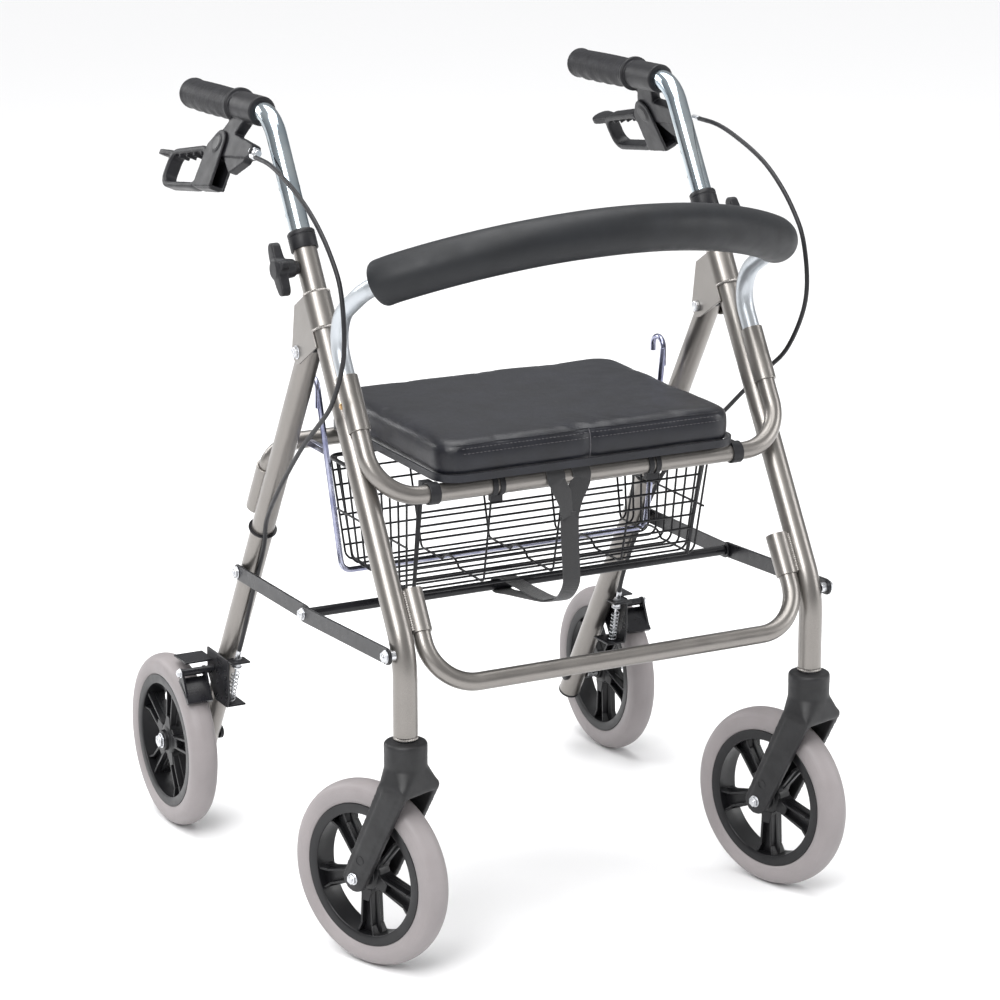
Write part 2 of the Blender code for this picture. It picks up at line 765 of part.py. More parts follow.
def flat_link(name, side, x_low, start, end, holes):
    x_pair = (side * x_low, side * (x_low + LINK_THICKNESS))
    points = disc_points(*start, LINK_HALF_WIDTH, x_pair) + disc_points(*end, LINK_HALF_WIDTH, x_pair)
    link = add(name, hull(points), "black_steel", (side * x_low, *start))
    for radius, (y, z) in holes:
        cut(link, pin_shape(radius, *sorted((side * (x_low - 0.01), side * (x_low + 0.01))), y, z))
    return link


def links(side):
    name = SIDES[side]
    flat_link(f"rear_link_{name}", side, REAR_LINK_X, LINK_REAR, LINK_MID, [(0.0036, LINK_REAR), (0.0043, LINK_MID)])
    front = flat_link(f"front_link_{name}", side, FRONT_LINK_X, LINK_FRONT, LINK_MID, [(0.0036, LINK_FRONT)])
    boss = FRONT_LINK_X + LINK_THICKNESS
    join(front, pin_shape(0.0062, *sorted((side * (boss - 0.001), side * (boss + 0.0042))), *LINK_MID))
    for place, (y, z), x_low in (("rear", LINK_REAR, REAR_LINK_X), ("front", LINK_FRONT, FRONT_LINK_X)):
        inner = x_low - GAP
        outer = x_low + LINK_THICKNESS + GAP
        stations = [
            (0.0033, 0.2510),
            (0.0033, LEG_X + LEG_RADIUS + GAP),
            (0.0055, LEG_X + LEG_RADIUS + GAP),
            (0.0055, inner),
            (0.0033, inner),
            (0.0033, outer),
            (0.0062, outer),
            (0.0062, outer + 0.0042),
        ]
        headed_pin(f"link_bolt_{place}_{name}", "zinc", side, stations, y, z)


def cross_rod():
    inner = REAR_LINK_X - GAP
    outer = REAR_LINK_X + LINK_THICKNESS
    stations = [(0.0040, -outer), (0.0040, -inner), (ROD_RADIUS, -inner)]
    stations += [(radius, -x) for radius, x in reversed(stations)]
    add("cross_rod", turned(stations, X_AXIS, (0, *LINK_MID), 12), "black_steel", (0, *LINK_MID))


# ---- handles and brakes ----


def handle(side):
    x = side * LEG_X
    name = SIDES[side]
    corners = [on_front_leg(x, HANDLE_START), on_front_leg(x, HANDLE_CORNER), on_handle(x, HANDLE_END_Y)]
    path = filleted(corners, HANDLE_BEND_RADIUS, 7)
    add(f"handle_tube_{name}", tube(path, HANDLE_RADIUS, HANDLE_WALL), "chrome", corners[0])
    front, tip = GRIP_Y
    bore = HANDLE_RADIUS + GAP
    floor = HANDLE_END_Y + 0.001
    profile = [
        (0, tip),
        (GRIP_RADIUS * 0.62, tip),
        (GRIP_RADIUS * 0.95, tip - 0.004),
        (GRIP_RADIUS, tip - 0.010),
        (GRIP_RADIUS * 0.93, (front + tip) / 2),
        (GRIP_RADIUS, front + 0.012),
        (GRIP_RADIUS, front),
        (bore, front),
        (bore, floor),
        (0, floor),
    ]
    start = on_handle(x, 0)
    profile = [(radius, y / HANDLE_AHEAD.y) for radius, y in profile]
    add(f"handle_grip_{name}", turned(profile, HANDLE_AHEAD, start), "black_plastic", on_handle(x, front))


def brake_frame(side):
    """Local frame of a brake: origin on the handle in its clamp, Y back along the handle, rolled outward."""
    place = Matrix.Translation(on_handle(side * LEG_X, CLAMP_Y))
    return place @ Matrix.Rotation(-HANDLE_DROP, 4, "X") @ Matrix.Rotation(-side * BRAKE_ROLL, 4, "Y")


def brake_housing(side):
    bore = HANDLE_RADIUS + GAP
    outer = 0.0160
    flange = 0.0195
    ring = [(bore, -0.030), (outer, -0.030), (outer, 0.026), (flange, 0.027), (flange, 0.032), (bore, 0.032)]
    shape = turned(ring, (0, 1, 0), (0, 0, 0), 16, ring=True)
    housing = local_part(f"brake_housing_{SIDES[side]}", shape, "black_plastic", brake_frame(side))
    half = 0.0064
    body = disc_points(*LEVER_PIVOT, 0.0150, (-half, half))
    body += box_points((-half, -0.006, -0.0160), (half, 0.024, -0.0135))
    join(housing, hull(body))
    nose = disc_points(-0.042, -0.044, 0.0085, (-half * 0.95, half * 0.95))
    nose += box_points((-half * 0.95, 0.018, -0.058), (half * 0.95, 0.024, -0.030))
    join(housing, hull(nose))
    join(housing, turned([(0.0046, -0.0585), (0.0046, -0.0460)], (0, 1, 0), (0, 0, -0.044), 12))
    return housing


def brake_lever(side):
    pivot_y, pivot_z = LEVER_PIVOT
    corners = [(0, 0.052, -0.053), (0, 0.139, -0.069), (0, 0.139, -0.106), (0, 0.052, -0.096)]
    loop = filleted([*corners, *corners[:2]], 0.012, 3)[1:-1]
    half_width, half_depth = 0.0084, 0.0032
    section = [(-half_width, -half_depth), (half_width, -half_depth), (half_width, half_depth), (-half_width, half_depth)]
    hinge = brake_frame(side) @ Matrix.Translation((0, pivot_y, pivot_z))
    local = [p - Vector((0, pivot_y, pivot_z)) for p in loop]
    shape = swept(local, section, X_AXIS, closed=True)
    lever = local_part(f"brake_lever_{SIDES[side]}", shape, "black_plastic", hinge)
    for cheek in (-1, 1):
        x_pair = (cheek * 0.0070, cheek * 0.0100)
        points = disc_points(0, 0, 0.0155, x_pair)
        points += [(x, y - pivot_y, z - pivot_z) for x in x_pair for y, z in ((0.0530, -0.0500), (0.0530, -0.0980))]
        points += [(x, 0.0100 - pivot_y, -0.0930 - pivot_z) for x in x_pair]
        join(lever, hull(points))
    paddle = disc_points(0.170 - pivot_y, -0.073 - pivot_z, 0.0055, (-0.0105, 0.0105))
    paddle += disc_points(0.133 - pivot_y, -0.0705 - pivot_z, 0.0040, (-0.0080, 0.0080))
    return join(lever, hull(paddle))


def height_knob(side):
    inner = LEG_X + LEG_RADIUS + GAP
    neck_end = inner + 0.0145
    place = on_front_leg(0, KNOB_ALONG_LEG)
    stations = [(0.0070, inner), (0.0070, inner + 0.004), (0.0100, inner + 0.004), (0.0100, neck_end)]
    profile = [(radius, side * x) for radius, x in stations]
    origin = (side * inner, place.y, place.z)
    knob = add(f"height_knob_{SIDES[side]}", turned(profile, X_AXIS, (0, place.y, place.z), 16), "black_plastic", origin)
    points = disc_points(place.y, place.z, 0.0145, (side * (neck_end - 0.0020), side * (neck_end + 0.0140)))
    for end in (-1, 1):
        tip = place + ALONG_LEG * (end * 0.022)
        points += disc_points(tip.y, tip.z, 0.0075, (side * (neck_end + 0.0010), side * (neck_end + 0.0120)))
    return join(knob, hull(points))


def brake_bracket(side):
    """The black stamping on the rear leg: side plate, guard over the tyre and two tabs for cable and spring."""
    face = LEG_X + LEG_RADIUS + GAP

    def sided(low, high):
        xs = sorted((side * low[0], side * high[0]))
        return hull(box_points((xs[0], *low[1:]), (xs[1], *high[1:])))

    plate = sided((face, 0.1280, 0.1580), (face + 0.0030, 0.2080, 0.2215))
    bracket = add(f"brake_bracket_{SIDES[side]}", plate, "black_steel")
    join(bracket, sided((face + 0.0010, 0.1850, 0.2055), (REAR_WHEEL_X + 0.0060, 0.2320, 0.2080)))
    join(bracket, sided((0.2340, 0.1290, 0.2150), (face + 0.0020, 0.1495, 0.2180)))
    join(bracket, sided((0.2340, 0.1450, 0.1610), (face + 0.0020, 0.1800, 0.1640)))


def brake_shoe(side):
    y, z = SHOE_PIVOT
    inner = side * 0.2592
    outer = side * (REAR_WHEEL_X + 0.0155)
    points = disc_points(y, z, 0.0045, (inner, outer), 10)
    for turn in (-0.155, 0.0, 0.155):
        angle = math.radians(41) + turn
        for radius in (WHEEL_RADIUS + 0.0026, WHEEL_RADIUS + 0.0080):
            place_y = REAR_AXLE_Y - radius * math.sin(angle)
            place_z = WHEEL_RADIUS + radius * math.cos(angle)
            points += [(x, place_y, place_z) for x in (side * 0.2690, outer)]
    add(f"brake_shoe_{SIDES[side]}", hull(points), "black_steel", (0, y, z))


CABLE_ROUTE = [
    (0.2680, 0.0200, 0.8105),
    (0.2695, -0.0300, 0.8090),
    (0.2710, -0.0780, 0.7980),
    (0.2720, -0.1210, 0.7830),
    (0.2720, -0.1550, 0.7640),
    (0.2720, -0.1840, 0.7400),
    (0.2720, -0.2050, 0.7120),
    (0.2725, -0.2140, 0.6670),
    (0.2720, -0.2060, 0.6290),
    (0.2710, -0.1770, 0.5850),
    (0.2690, -0.1380, 0.5540),
    (0.2680, -0.1000, 0.5250),
    (0.2650, -0.0560, 0.4880),
    (0.2590, -0.0050, 0.4450),
    (0.2510, 0.0390, 0.4050),
    (0.2450, 0.0610, 0.3700),
    (0.2430, 0.1010, 0.3030),
    (0.2430, 0.1270, 0.2520),
    (0.2450, 0.1410, 0.2200),
]


def brake_cable(side):
    """The outer cable from the lever's adjuster to the brake, a smooth curve through its own route points."""
    route = [Vector((side * x, y, z)) for x, y, z in CABLE_ROUTE]
    route = [route[0] * 2 - route[1], *route, route[-1] * 2 - route[-2]]
    smooth = []
    per_span = 3
    for a, b, c, d in zip(route, route[1:], route[2:], route[3:]):
        for step in range(per_span):
            t = step / per_span
            smooth.append(
                0.5 * ((2 * b) + (c - a) * t + (2 * a - 5 * b + 4 * c - d) * t**2 + (3 * b - 3 * c + d - a) * t**3)
            )
    smooth.append(route[-2])
    curve = bpy.data.curves.new(f"brake_cable_{SIDES[side]}", "CURVE")
    curve.dimensions = "3D"
    curve.bevel_depth = CABLE_RADIUS
    curve.bevel_resolution = 2
    curve.use_fill_caps = True
    spline = curve.splines.new("POLY")
    spline.points.add(len(smooth) - 1)
    for point, place in zip(spline.points, smooth):
        point.co = (*place, 1)
    curve.materials.append(material("black_plastic"))
    made = bpy.data.objects.new(curve.name, curve)
    bpy.context.collection.objects.link(made)


# ---- seat, basket, strap ----


def seat():
    pad = rounded_slab(SEAT_HALF_WIDTH, SEAT_FRONT_Y, SEAT_REAR_Y, SEAT_BOTTOM_Z, SEAT_TOP_Z, 0.030, 0.004)
    hinge = on_front_leg(0, SEAT_RUN, -SOCKET_OFFSET)
    add("seat_pad", pad, "vinyl", hinge)
    inset = BOARD_INSET
    board = rounded_slab(
        SEAT_HALF_WIDTH - inset,
        SEAT_FRONT_Y + inset,
        SEAT_REAR_Y - inset,
        BOARD_BOTTOM_Z,
        SEAT_BOTTOM_Z - GAP,
        0.020,
    )
    add("seat_board", board, "board", hinge)
    bar = hull(box_points((-0.1880, hinge.y + 0.0104, hinge.z + 0.002), (0.1880, hinge.y + 0.0240, BOARD_BOTTOM_Z - GAP)))
    made = add("seat_hinge", bar, "black_plastic", hinge)
    bore = CROSS_TUBE_RADIUS + 0.0006
    for side in SIDES:
        low, high = sorted((side * 0.1700, side * 0.1900))
        ring = [(bore, low), (0.0128, low), (0.0128, high), (bore, high)]
        join(made, turned(ring, X_AXIS, (0, hinge.y, hinge.z), 16, ring=True))


def basket():
    """An open-topped tray with sloping sides: the outer shape of the wire basket."""

    def level(half, front, rear, z, inset):
        return [
            (-half + inset, front + inset, z),
            (half - inset, front + inset, z),
            (half - inset, rear - inset, z),
            (-half + inset, rear - inset, z),
        ]

    points = level(*BASKET_FLOOR, 0) + level(*BASKET_TOP, 0) + level(*BASKET_TOP, BASKET_WALL)
    half, front, rear, z = BASKET_FLOOR
    points += level(half, front, rear, z + BASKET_WALL, BASKET_WALL)
    faces = [(0, 1, 2, 3), (12, 13, 14, 15)]
    for base in (0, 4, 8):
        faces += ring_faces(base, base + 4, 4)
    add("basket", (points, faces), "black_steel")


def strap():
    """The pull strap: from the front of the seat tube, under the basket, to the cross rod."""
    tube_centre = on_front_leg(0, SEAT_RUN, -SOCKET_OFFSET)
    front = tube_centre.y - CROSS_TUBE_RADIUS - 0.002
    route = [
        (front, tube_centre.z + 0.006),
        (front, 0.470),
        (front + 0.001, 0.430),
        (-0.2290, 0.395),
        (-0.2160, 0.366),
        (-0.1920, 0.349),
        (-0.1500, 0.340),
        (-0.0900, 0.337),
    ]
    path = [(STRAP_X, y, z) for y, z in route]
    half_width, half_depth = 0.011, 0.0009
    section = [(-half_width, -half_depth), (half_width, -half_depth), (half_width, half_depth), (-half_width, half_depth)]
    add("pull_strap", swept(path, section, X_AXIS), "webbing")


def main():
    clear_scene()
    seat_run_end = sum(SEAT_SOCKET) / 2 - 0.002
    cross_tube("seat_front_tube", LEG_X, seat_run_end, SEAT_RUN, -SOCKET_OFFSET)
    cross_tube("lower_cross_tube", LEG_X - SOCKET_OFFSET, LOWER_SOCKET[1] - 0.008, LOWER_RUN, 0)
    backrest()
    rear_seat_tube()
    basket_bail()
    cross_rod()
    for side in SIDES:
        front_leg(side)
        fold_bracket(side)
        leg_collar(side)
        rear_leg(side)
        fold_pivot_bolt(side)
        rear_axle(side)
        rear_wheel(side)
        caster(side)
        links(side)
        handle(side)
        brake_housing(side)
        brake_lever(side)
        height_knob(side)
        brake_bracket(side)
        brake_shoe(side)
        brake_cable(side)
    seat()
    basket()
    strap()


main()
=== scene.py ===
"""Rollator walker: the detailed visual pieces, materials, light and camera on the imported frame."""

import math

import bmesh
import bpy
from mathutils import Matrix, Vector, noise
from mathutils.bvhtree import BVHTree


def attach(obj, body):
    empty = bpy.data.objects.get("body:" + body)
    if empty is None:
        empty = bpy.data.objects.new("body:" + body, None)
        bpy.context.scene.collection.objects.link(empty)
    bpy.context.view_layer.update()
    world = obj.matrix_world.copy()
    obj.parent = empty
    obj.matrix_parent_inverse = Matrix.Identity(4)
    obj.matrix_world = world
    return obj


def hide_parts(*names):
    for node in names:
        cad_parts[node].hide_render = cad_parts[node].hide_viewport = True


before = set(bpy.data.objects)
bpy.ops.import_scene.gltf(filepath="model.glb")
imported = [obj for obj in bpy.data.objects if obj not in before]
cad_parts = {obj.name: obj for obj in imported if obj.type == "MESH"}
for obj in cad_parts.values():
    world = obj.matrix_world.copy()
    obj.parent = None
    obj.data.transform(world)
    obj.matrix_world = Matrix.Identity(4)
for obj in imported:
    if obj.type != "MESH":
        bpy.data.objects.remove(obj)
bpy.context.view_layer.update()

for name in ("Cube", "Light", "Camera"):
    if name in bpy.data.objects:
        bpy.data.objects.remove(bpy.data.objects[name], do_unlink=True)

SIDES = {-1: "left", 1: "right"}
X_AXIS = Vector((1, 0, 0))
Y_AXIS = Vector((0, 1, 0))
Z_AXIS = Vector((0, 0, 1))

# Frame tubes
LEG_X = 0.242
LEG_RADIUS = 0.0127
LEG_SLANT = math.radians(31.6)
LEG_BEND_Y = -0.2845
LEG_BEND_Z = 0.3465
LEG_BOTTOM_Z = 0.2605
LEG_LENGTH = 0.452
CROSS_TUBE_RADIUS = 0.0095
SOCKET_RADIUS = 0.0118
SOCKET_OFFSET = LEG_RADIUS + SOCKET_RADIUS - 0.0007
SEAT_SOCKET = (0.231, 0.291)
LOWER_SOCKET = (0.020, 0.066)
SEAT_RUN = 0.157
LOWER_RUN = -0.039
PIVOT_Y = -0.0626
PIVOT_Z = 0.6158
REAR_SLANT = math.radians(30.3)
REAR_LEG_BELOW_AXLE = 0.031
REAR_SOCKET = (0.190, 0.252)
REAR_RUN = 0.1566
BRACKET_LOW = 0.333
BRACKET_WRAP = (0.352, 0.390)

# Wheels and links
WHEEL_RADIUS = 0.100
TYRE_WIDTH = 0.032
REAR_WHEEL_X = 0.2843
REAR_AXLE_Y = 0.2387
CASTER_TRAIL = 0.049
CASTER_TURN = {-1: math.radians(21.7), 1: math.radians(16.9)}
LINK_FRONT = (-0.2840, 0.3475)
LINK_REAR = (0.1029, 0.3325)
LINK_MID = (-0.0790, 0.3355)
REAR_LINK_X = 0.2565
FRONT_LINK_X = 0.2600

# Handles and brakes
HANDLE_RADIUS = 0.0111
HANDLE_START = 0.300
HANDLE_CORNER = 0.5934
HANDLE_END_Y = 0.234
HANDLE_DROP = math.radians(2.1)
GRIP_Y = (0.1130, 0.2440)
CLAMP_Y = 0.080
BRAKE_ROLL = math.radians(24.5)
LEVER_PIVOT = (0.029, -0.046)
CABLE_RADIUS = 0.0027
KNOB_ALONG_LEG = 0.4218
SHOE_PIVOT = (0.1780, 0.1990)

# Seat, backrest, basket
SEAT_HALF_WIDTH = 0.178
SEAT_FRONT_Y = -0.242
SEAT_REAR_Y = 0.045
SEAT_BOTTOM_Z = 0.5075
SEAT_RIM_Z = 0.5090
BOARD_BOTTOM_Z = 0.5030
SEAT_TOP_Z = 0.548
SEAM_X = -0.0018
BACK_PLANE = 0.351
BACK_BOW = -0.221
BACK_RADIUS = 0.360
BACK_CORNER_RADIUS = 0.060
FOAM_RADIUS = 0.0245
FOAM_CORNER = math.radians(58)
BASKET_TOP = (0.1815, -0.1745, 0.0285, 0.4735)
BASKET_FLOOR = (0.1745, -0.1500, -0.0010, 0.3625)
STRAP_X = -0.026

ALONG_LEG = Vector((0, math.sin(LEG_SLANT), math.cos(LEG_SLANT)))
BEHIND_LEG = Vector((0, math.cos(LEG_SLANT), -math.sin(LEG_SLANT)))
DOWN_REAR_LEG = Vector((0, math.sin(REAR_SLANT), -math.cos(REAR_SLANT)))
BEHIND_REAR_LEG = Vector((0, math.cos(REAR_SLANT), math.sin(REAR_SLANT)))
HANDLE_AHEAD = Vector((0, math.cos(HANDLE_DROP), -math.sin(HANDLE_DROP)))
REAR_LEG_TO_AXLE = (PIVOT_Z - WHEEL_RADIUS) / math.cos(REAR_SLANT)


# ---- camera, light, floor ----


def make_camera():
    turn, tilt = math.radians(-27.4841), math.radians(15.6241)
    back = Vector((math.sin(turn) * math.cos(tilt), -math.cos(turn) * math.cos(tilt), math.sin(tilt)))
    data = bpy.data.cameras.new("camera")
    data.sensor_width = 36
    data.lens = 127.04
    data.shift_x = -0.00199
    data.shift_y = 0.00063
    data.clip_end = 200
    camera = bpy.data.objects.new("camera", data)
    bpy.context.collection.objects.link(camera)
    camera.location = (-1.7209, -3.3399, 1.4573)
    camera.rotation_euler = back.to_track_quat("Z", "Y").to_euler()
    bpy.context.scene.camera = camera


def area_light(name, place, aim, size, power, colour=(1, 1, 1)):
    data = bpy.data.lights.new(name, "AREA")
    data.shape = "RECTANGLE"
    data.size, data.size_y = size
    data.energy = power
    data.color = colour
    light = bpy.data.objects.new(name, data)
    bpy.context.collection.objects.link(light)
    light.location = place
    light.rotation_euler = (Vector(place) - Vector(aim)).to_track_quat("Z", "Y").to_euler()


def make_studio():
    bpy.context.scene.view_settings.view_transform = "Standard"
    world = bpy.data.worlds.new("studio")
    bpy.context.scene.world = world
    world.use_nodes = True
    nodes, links = world.node_tree.nodes, world.node_tree.links
    sky = nodes["Background"]
    place = nodes.new("ShaderNodeTexCoord")
    split = nodes.new("ShaderNodeSeparateXYZ")
    ramp = nodes.new("ShaderNodeValToRGB")
    ramp.color_ramp.elements[0].position = 0.0
    ramp.color_ramp.elements[0].color = (0.40, 0.41, 0.43, 1)
    ramp.color_ramp.elements[1].position = 0.75
    ramp.color_ramp.elements[1].color = (1, 1, 1, 1)
    links.new(place.outputs["Generated"], split.inputs[0])
    links.new(split.outputs["Z"], ramp.inputs["Fac"])
    links.new(ramp.outputs["Color"], sky.inputs["Color"])
    sky.inputs["Strength"].default_value = 0.5
    area_light("key", (-2.6, -2.2, 2.6), (0, 0, 0.45), (1.6, 1.6), 85)
    area_light("fill", (3.0, -2.0, 1.6), (0, 0, 0.45), (1.4, 2.0), 42)
    area_light("top", (0.3, 0.6, 3.2), (0, 0, 0.4), (2.2, 2.2), 55)
    area_light("rim", (-1.8, 2.8, 1.8), (0, 0, 0.5), (1.0, 1.8), 40)
    data = bpy.data.lights.new("sun", "SUN")
    data.energy = 2.2
    data.angle = math.radians(50)
    sun = bpy.data.objects.new("sun", data)
    bpy.context.collection.objects.link(sun)
    sun.rotation_euler = Vector((-0.35, -0.25, 1.0)).to_track_quat("Z", "Y").to_euler()
    mesh = bpy.data.meshes.new("floor")
    mesh.from_pydata([(-40, -40, 0), (40, -40, 0), (40, 40, 0), (-40, 40, 0)], [], [(0, 1, 2, 3)])
    floor = bpy.data.objects.new("floor", mesh)
    bpy.context.collection.objects.link(floor)
    floor.location.z = -0.0004
    matt = bpy.data.materials.new("floor_white")
    matt.use_nodes = True
    shader = matt.node_tree.nodes["Principled BSDF"]
    shader.inputs["Base Color"].default_value = (0.86, 0.86, 0.865, 1)
    shader.inputs["Roughness"].default_value = 0.9
    shader.inputs["Specular IOR Level"].default_value = 0.1
    mesh.materials.append(matt)


# ---- materials ----


class Finish:
    """A Principled material built from object-space noise, bump and patterns."""

    def __init__(self, name, colour, roughness, metallic=0.0, **sockets):
        self.made = bpy.data.materials.new(name)
        self.made.use_nodes = True
        self.tree = self.made.node_tree
        self.shader = self.tree.nodes["Principled BSDF"]
        self.shader.inputs["Base Color"].default_value = (*colour, 1)
        self.shader.inputs["Roughness"].default_value = roughness
        self.shader.inputs["Metallic"].default_value = metallic
        for socket, value in sockets.items():
            self.shader.inputs[socket.replace("_", " ")].default_value = value
        self.place = self.node("TexCoord").outputs["Object"]
        self.height = None

    def node(self, kind, **inputs):
        made = self.tree.nodes.new("ShaderNode" + kind)
        for socket, value in inputs.items():
            made.inputs[socket].default_value = value
        return made

    def link(self, output, target):
        self.tree.links.new(output, target)
        return target.node

    def noise(self, scale, detail=4.0, roughness=0.55, stretch=None):
        place = self.place
        if stretch:
            moved = self.node("Mapping")
            moved.inputs["Scale"].default_value = stretch
            self.link(place, moved.inputs["Vector"])
            place = moved.outputs["Vector"]
        made = self.node("TexNoise", Scale=scale, Detail=detail, Roughness=roughness)
        self.link(place, made.inputs["Vector"])
        return made.outputs["Fac"]

    def cells(self, scale, feature="F1"):
        made = self.node("TexVoronoi", Scale=scale)
        made.feature = feature
        self.link(self.place, made.inputs["Vector"])
        return made.outputs["Distance"]

    def ramp(self, value, stops):
        made = self.node("ValToRGB")
        made.color_ramp.elements[0].position = stops[0][0]
        made.color_ramp.elements[1].position = stops[-1][0]
        for position, _ in stops[1:-1]:
            made.color_ramp.elements.new(position)
        for element, (_, colour) in zip(made.color_ramp.elements, stops):
            element.color = (*colour, 1)
        self.link(value, made.inputs["Fac"])
        return made.outputs["Color"]

    def colour(self, value, stops):
        self.link(self.ramp(value, stops), self.shader.inputs["Base Color"])
        return self

    def rough(self, value, low, high):
        span = self.node("MapRange")
        span.inputs["From Min"].default_value = 0.3
        span.inputs["From Max"].default_value = 0.7
        span.inputs["To Min"].default_value = low
        span.inputs["To Max"].default_value = high
        self.link(value, span.inputs["Value"])
        self.link(span.outputs["Result"], self.shader.inputs["Roughness"])
        return self

    def math(self, operation, first, second=None):
        made = self.node("Math")
        made.operation = operation
        for socket, value in zip(made.inputs, (first, second)):
            if value is None:
                continue
            if isinstance(value, (int, float)):
                socket.default_value = value
            else:
                self.link(value, socket)
        return made.outputs["Value"]

    def bump(self, value, strength, distance):
        made = self.node("Bump", Strength=strength, Distance=distance)
        self.link(value, made.inputs["Height"])
        if self.height:
            self.link(self.height, made.inputs["Normal"])
        self.height = made.outputs["Normal"]
        self.link(self.height, self.shader.inputs["Normal"])
        return self

    def split(self):
        made = self.node("SeparateXYZ")
        self.link(self.place, made.inputs[0])
        return made.outputs


def shade(colour, factor):
    return tuple(channel * factor for channel in colour)


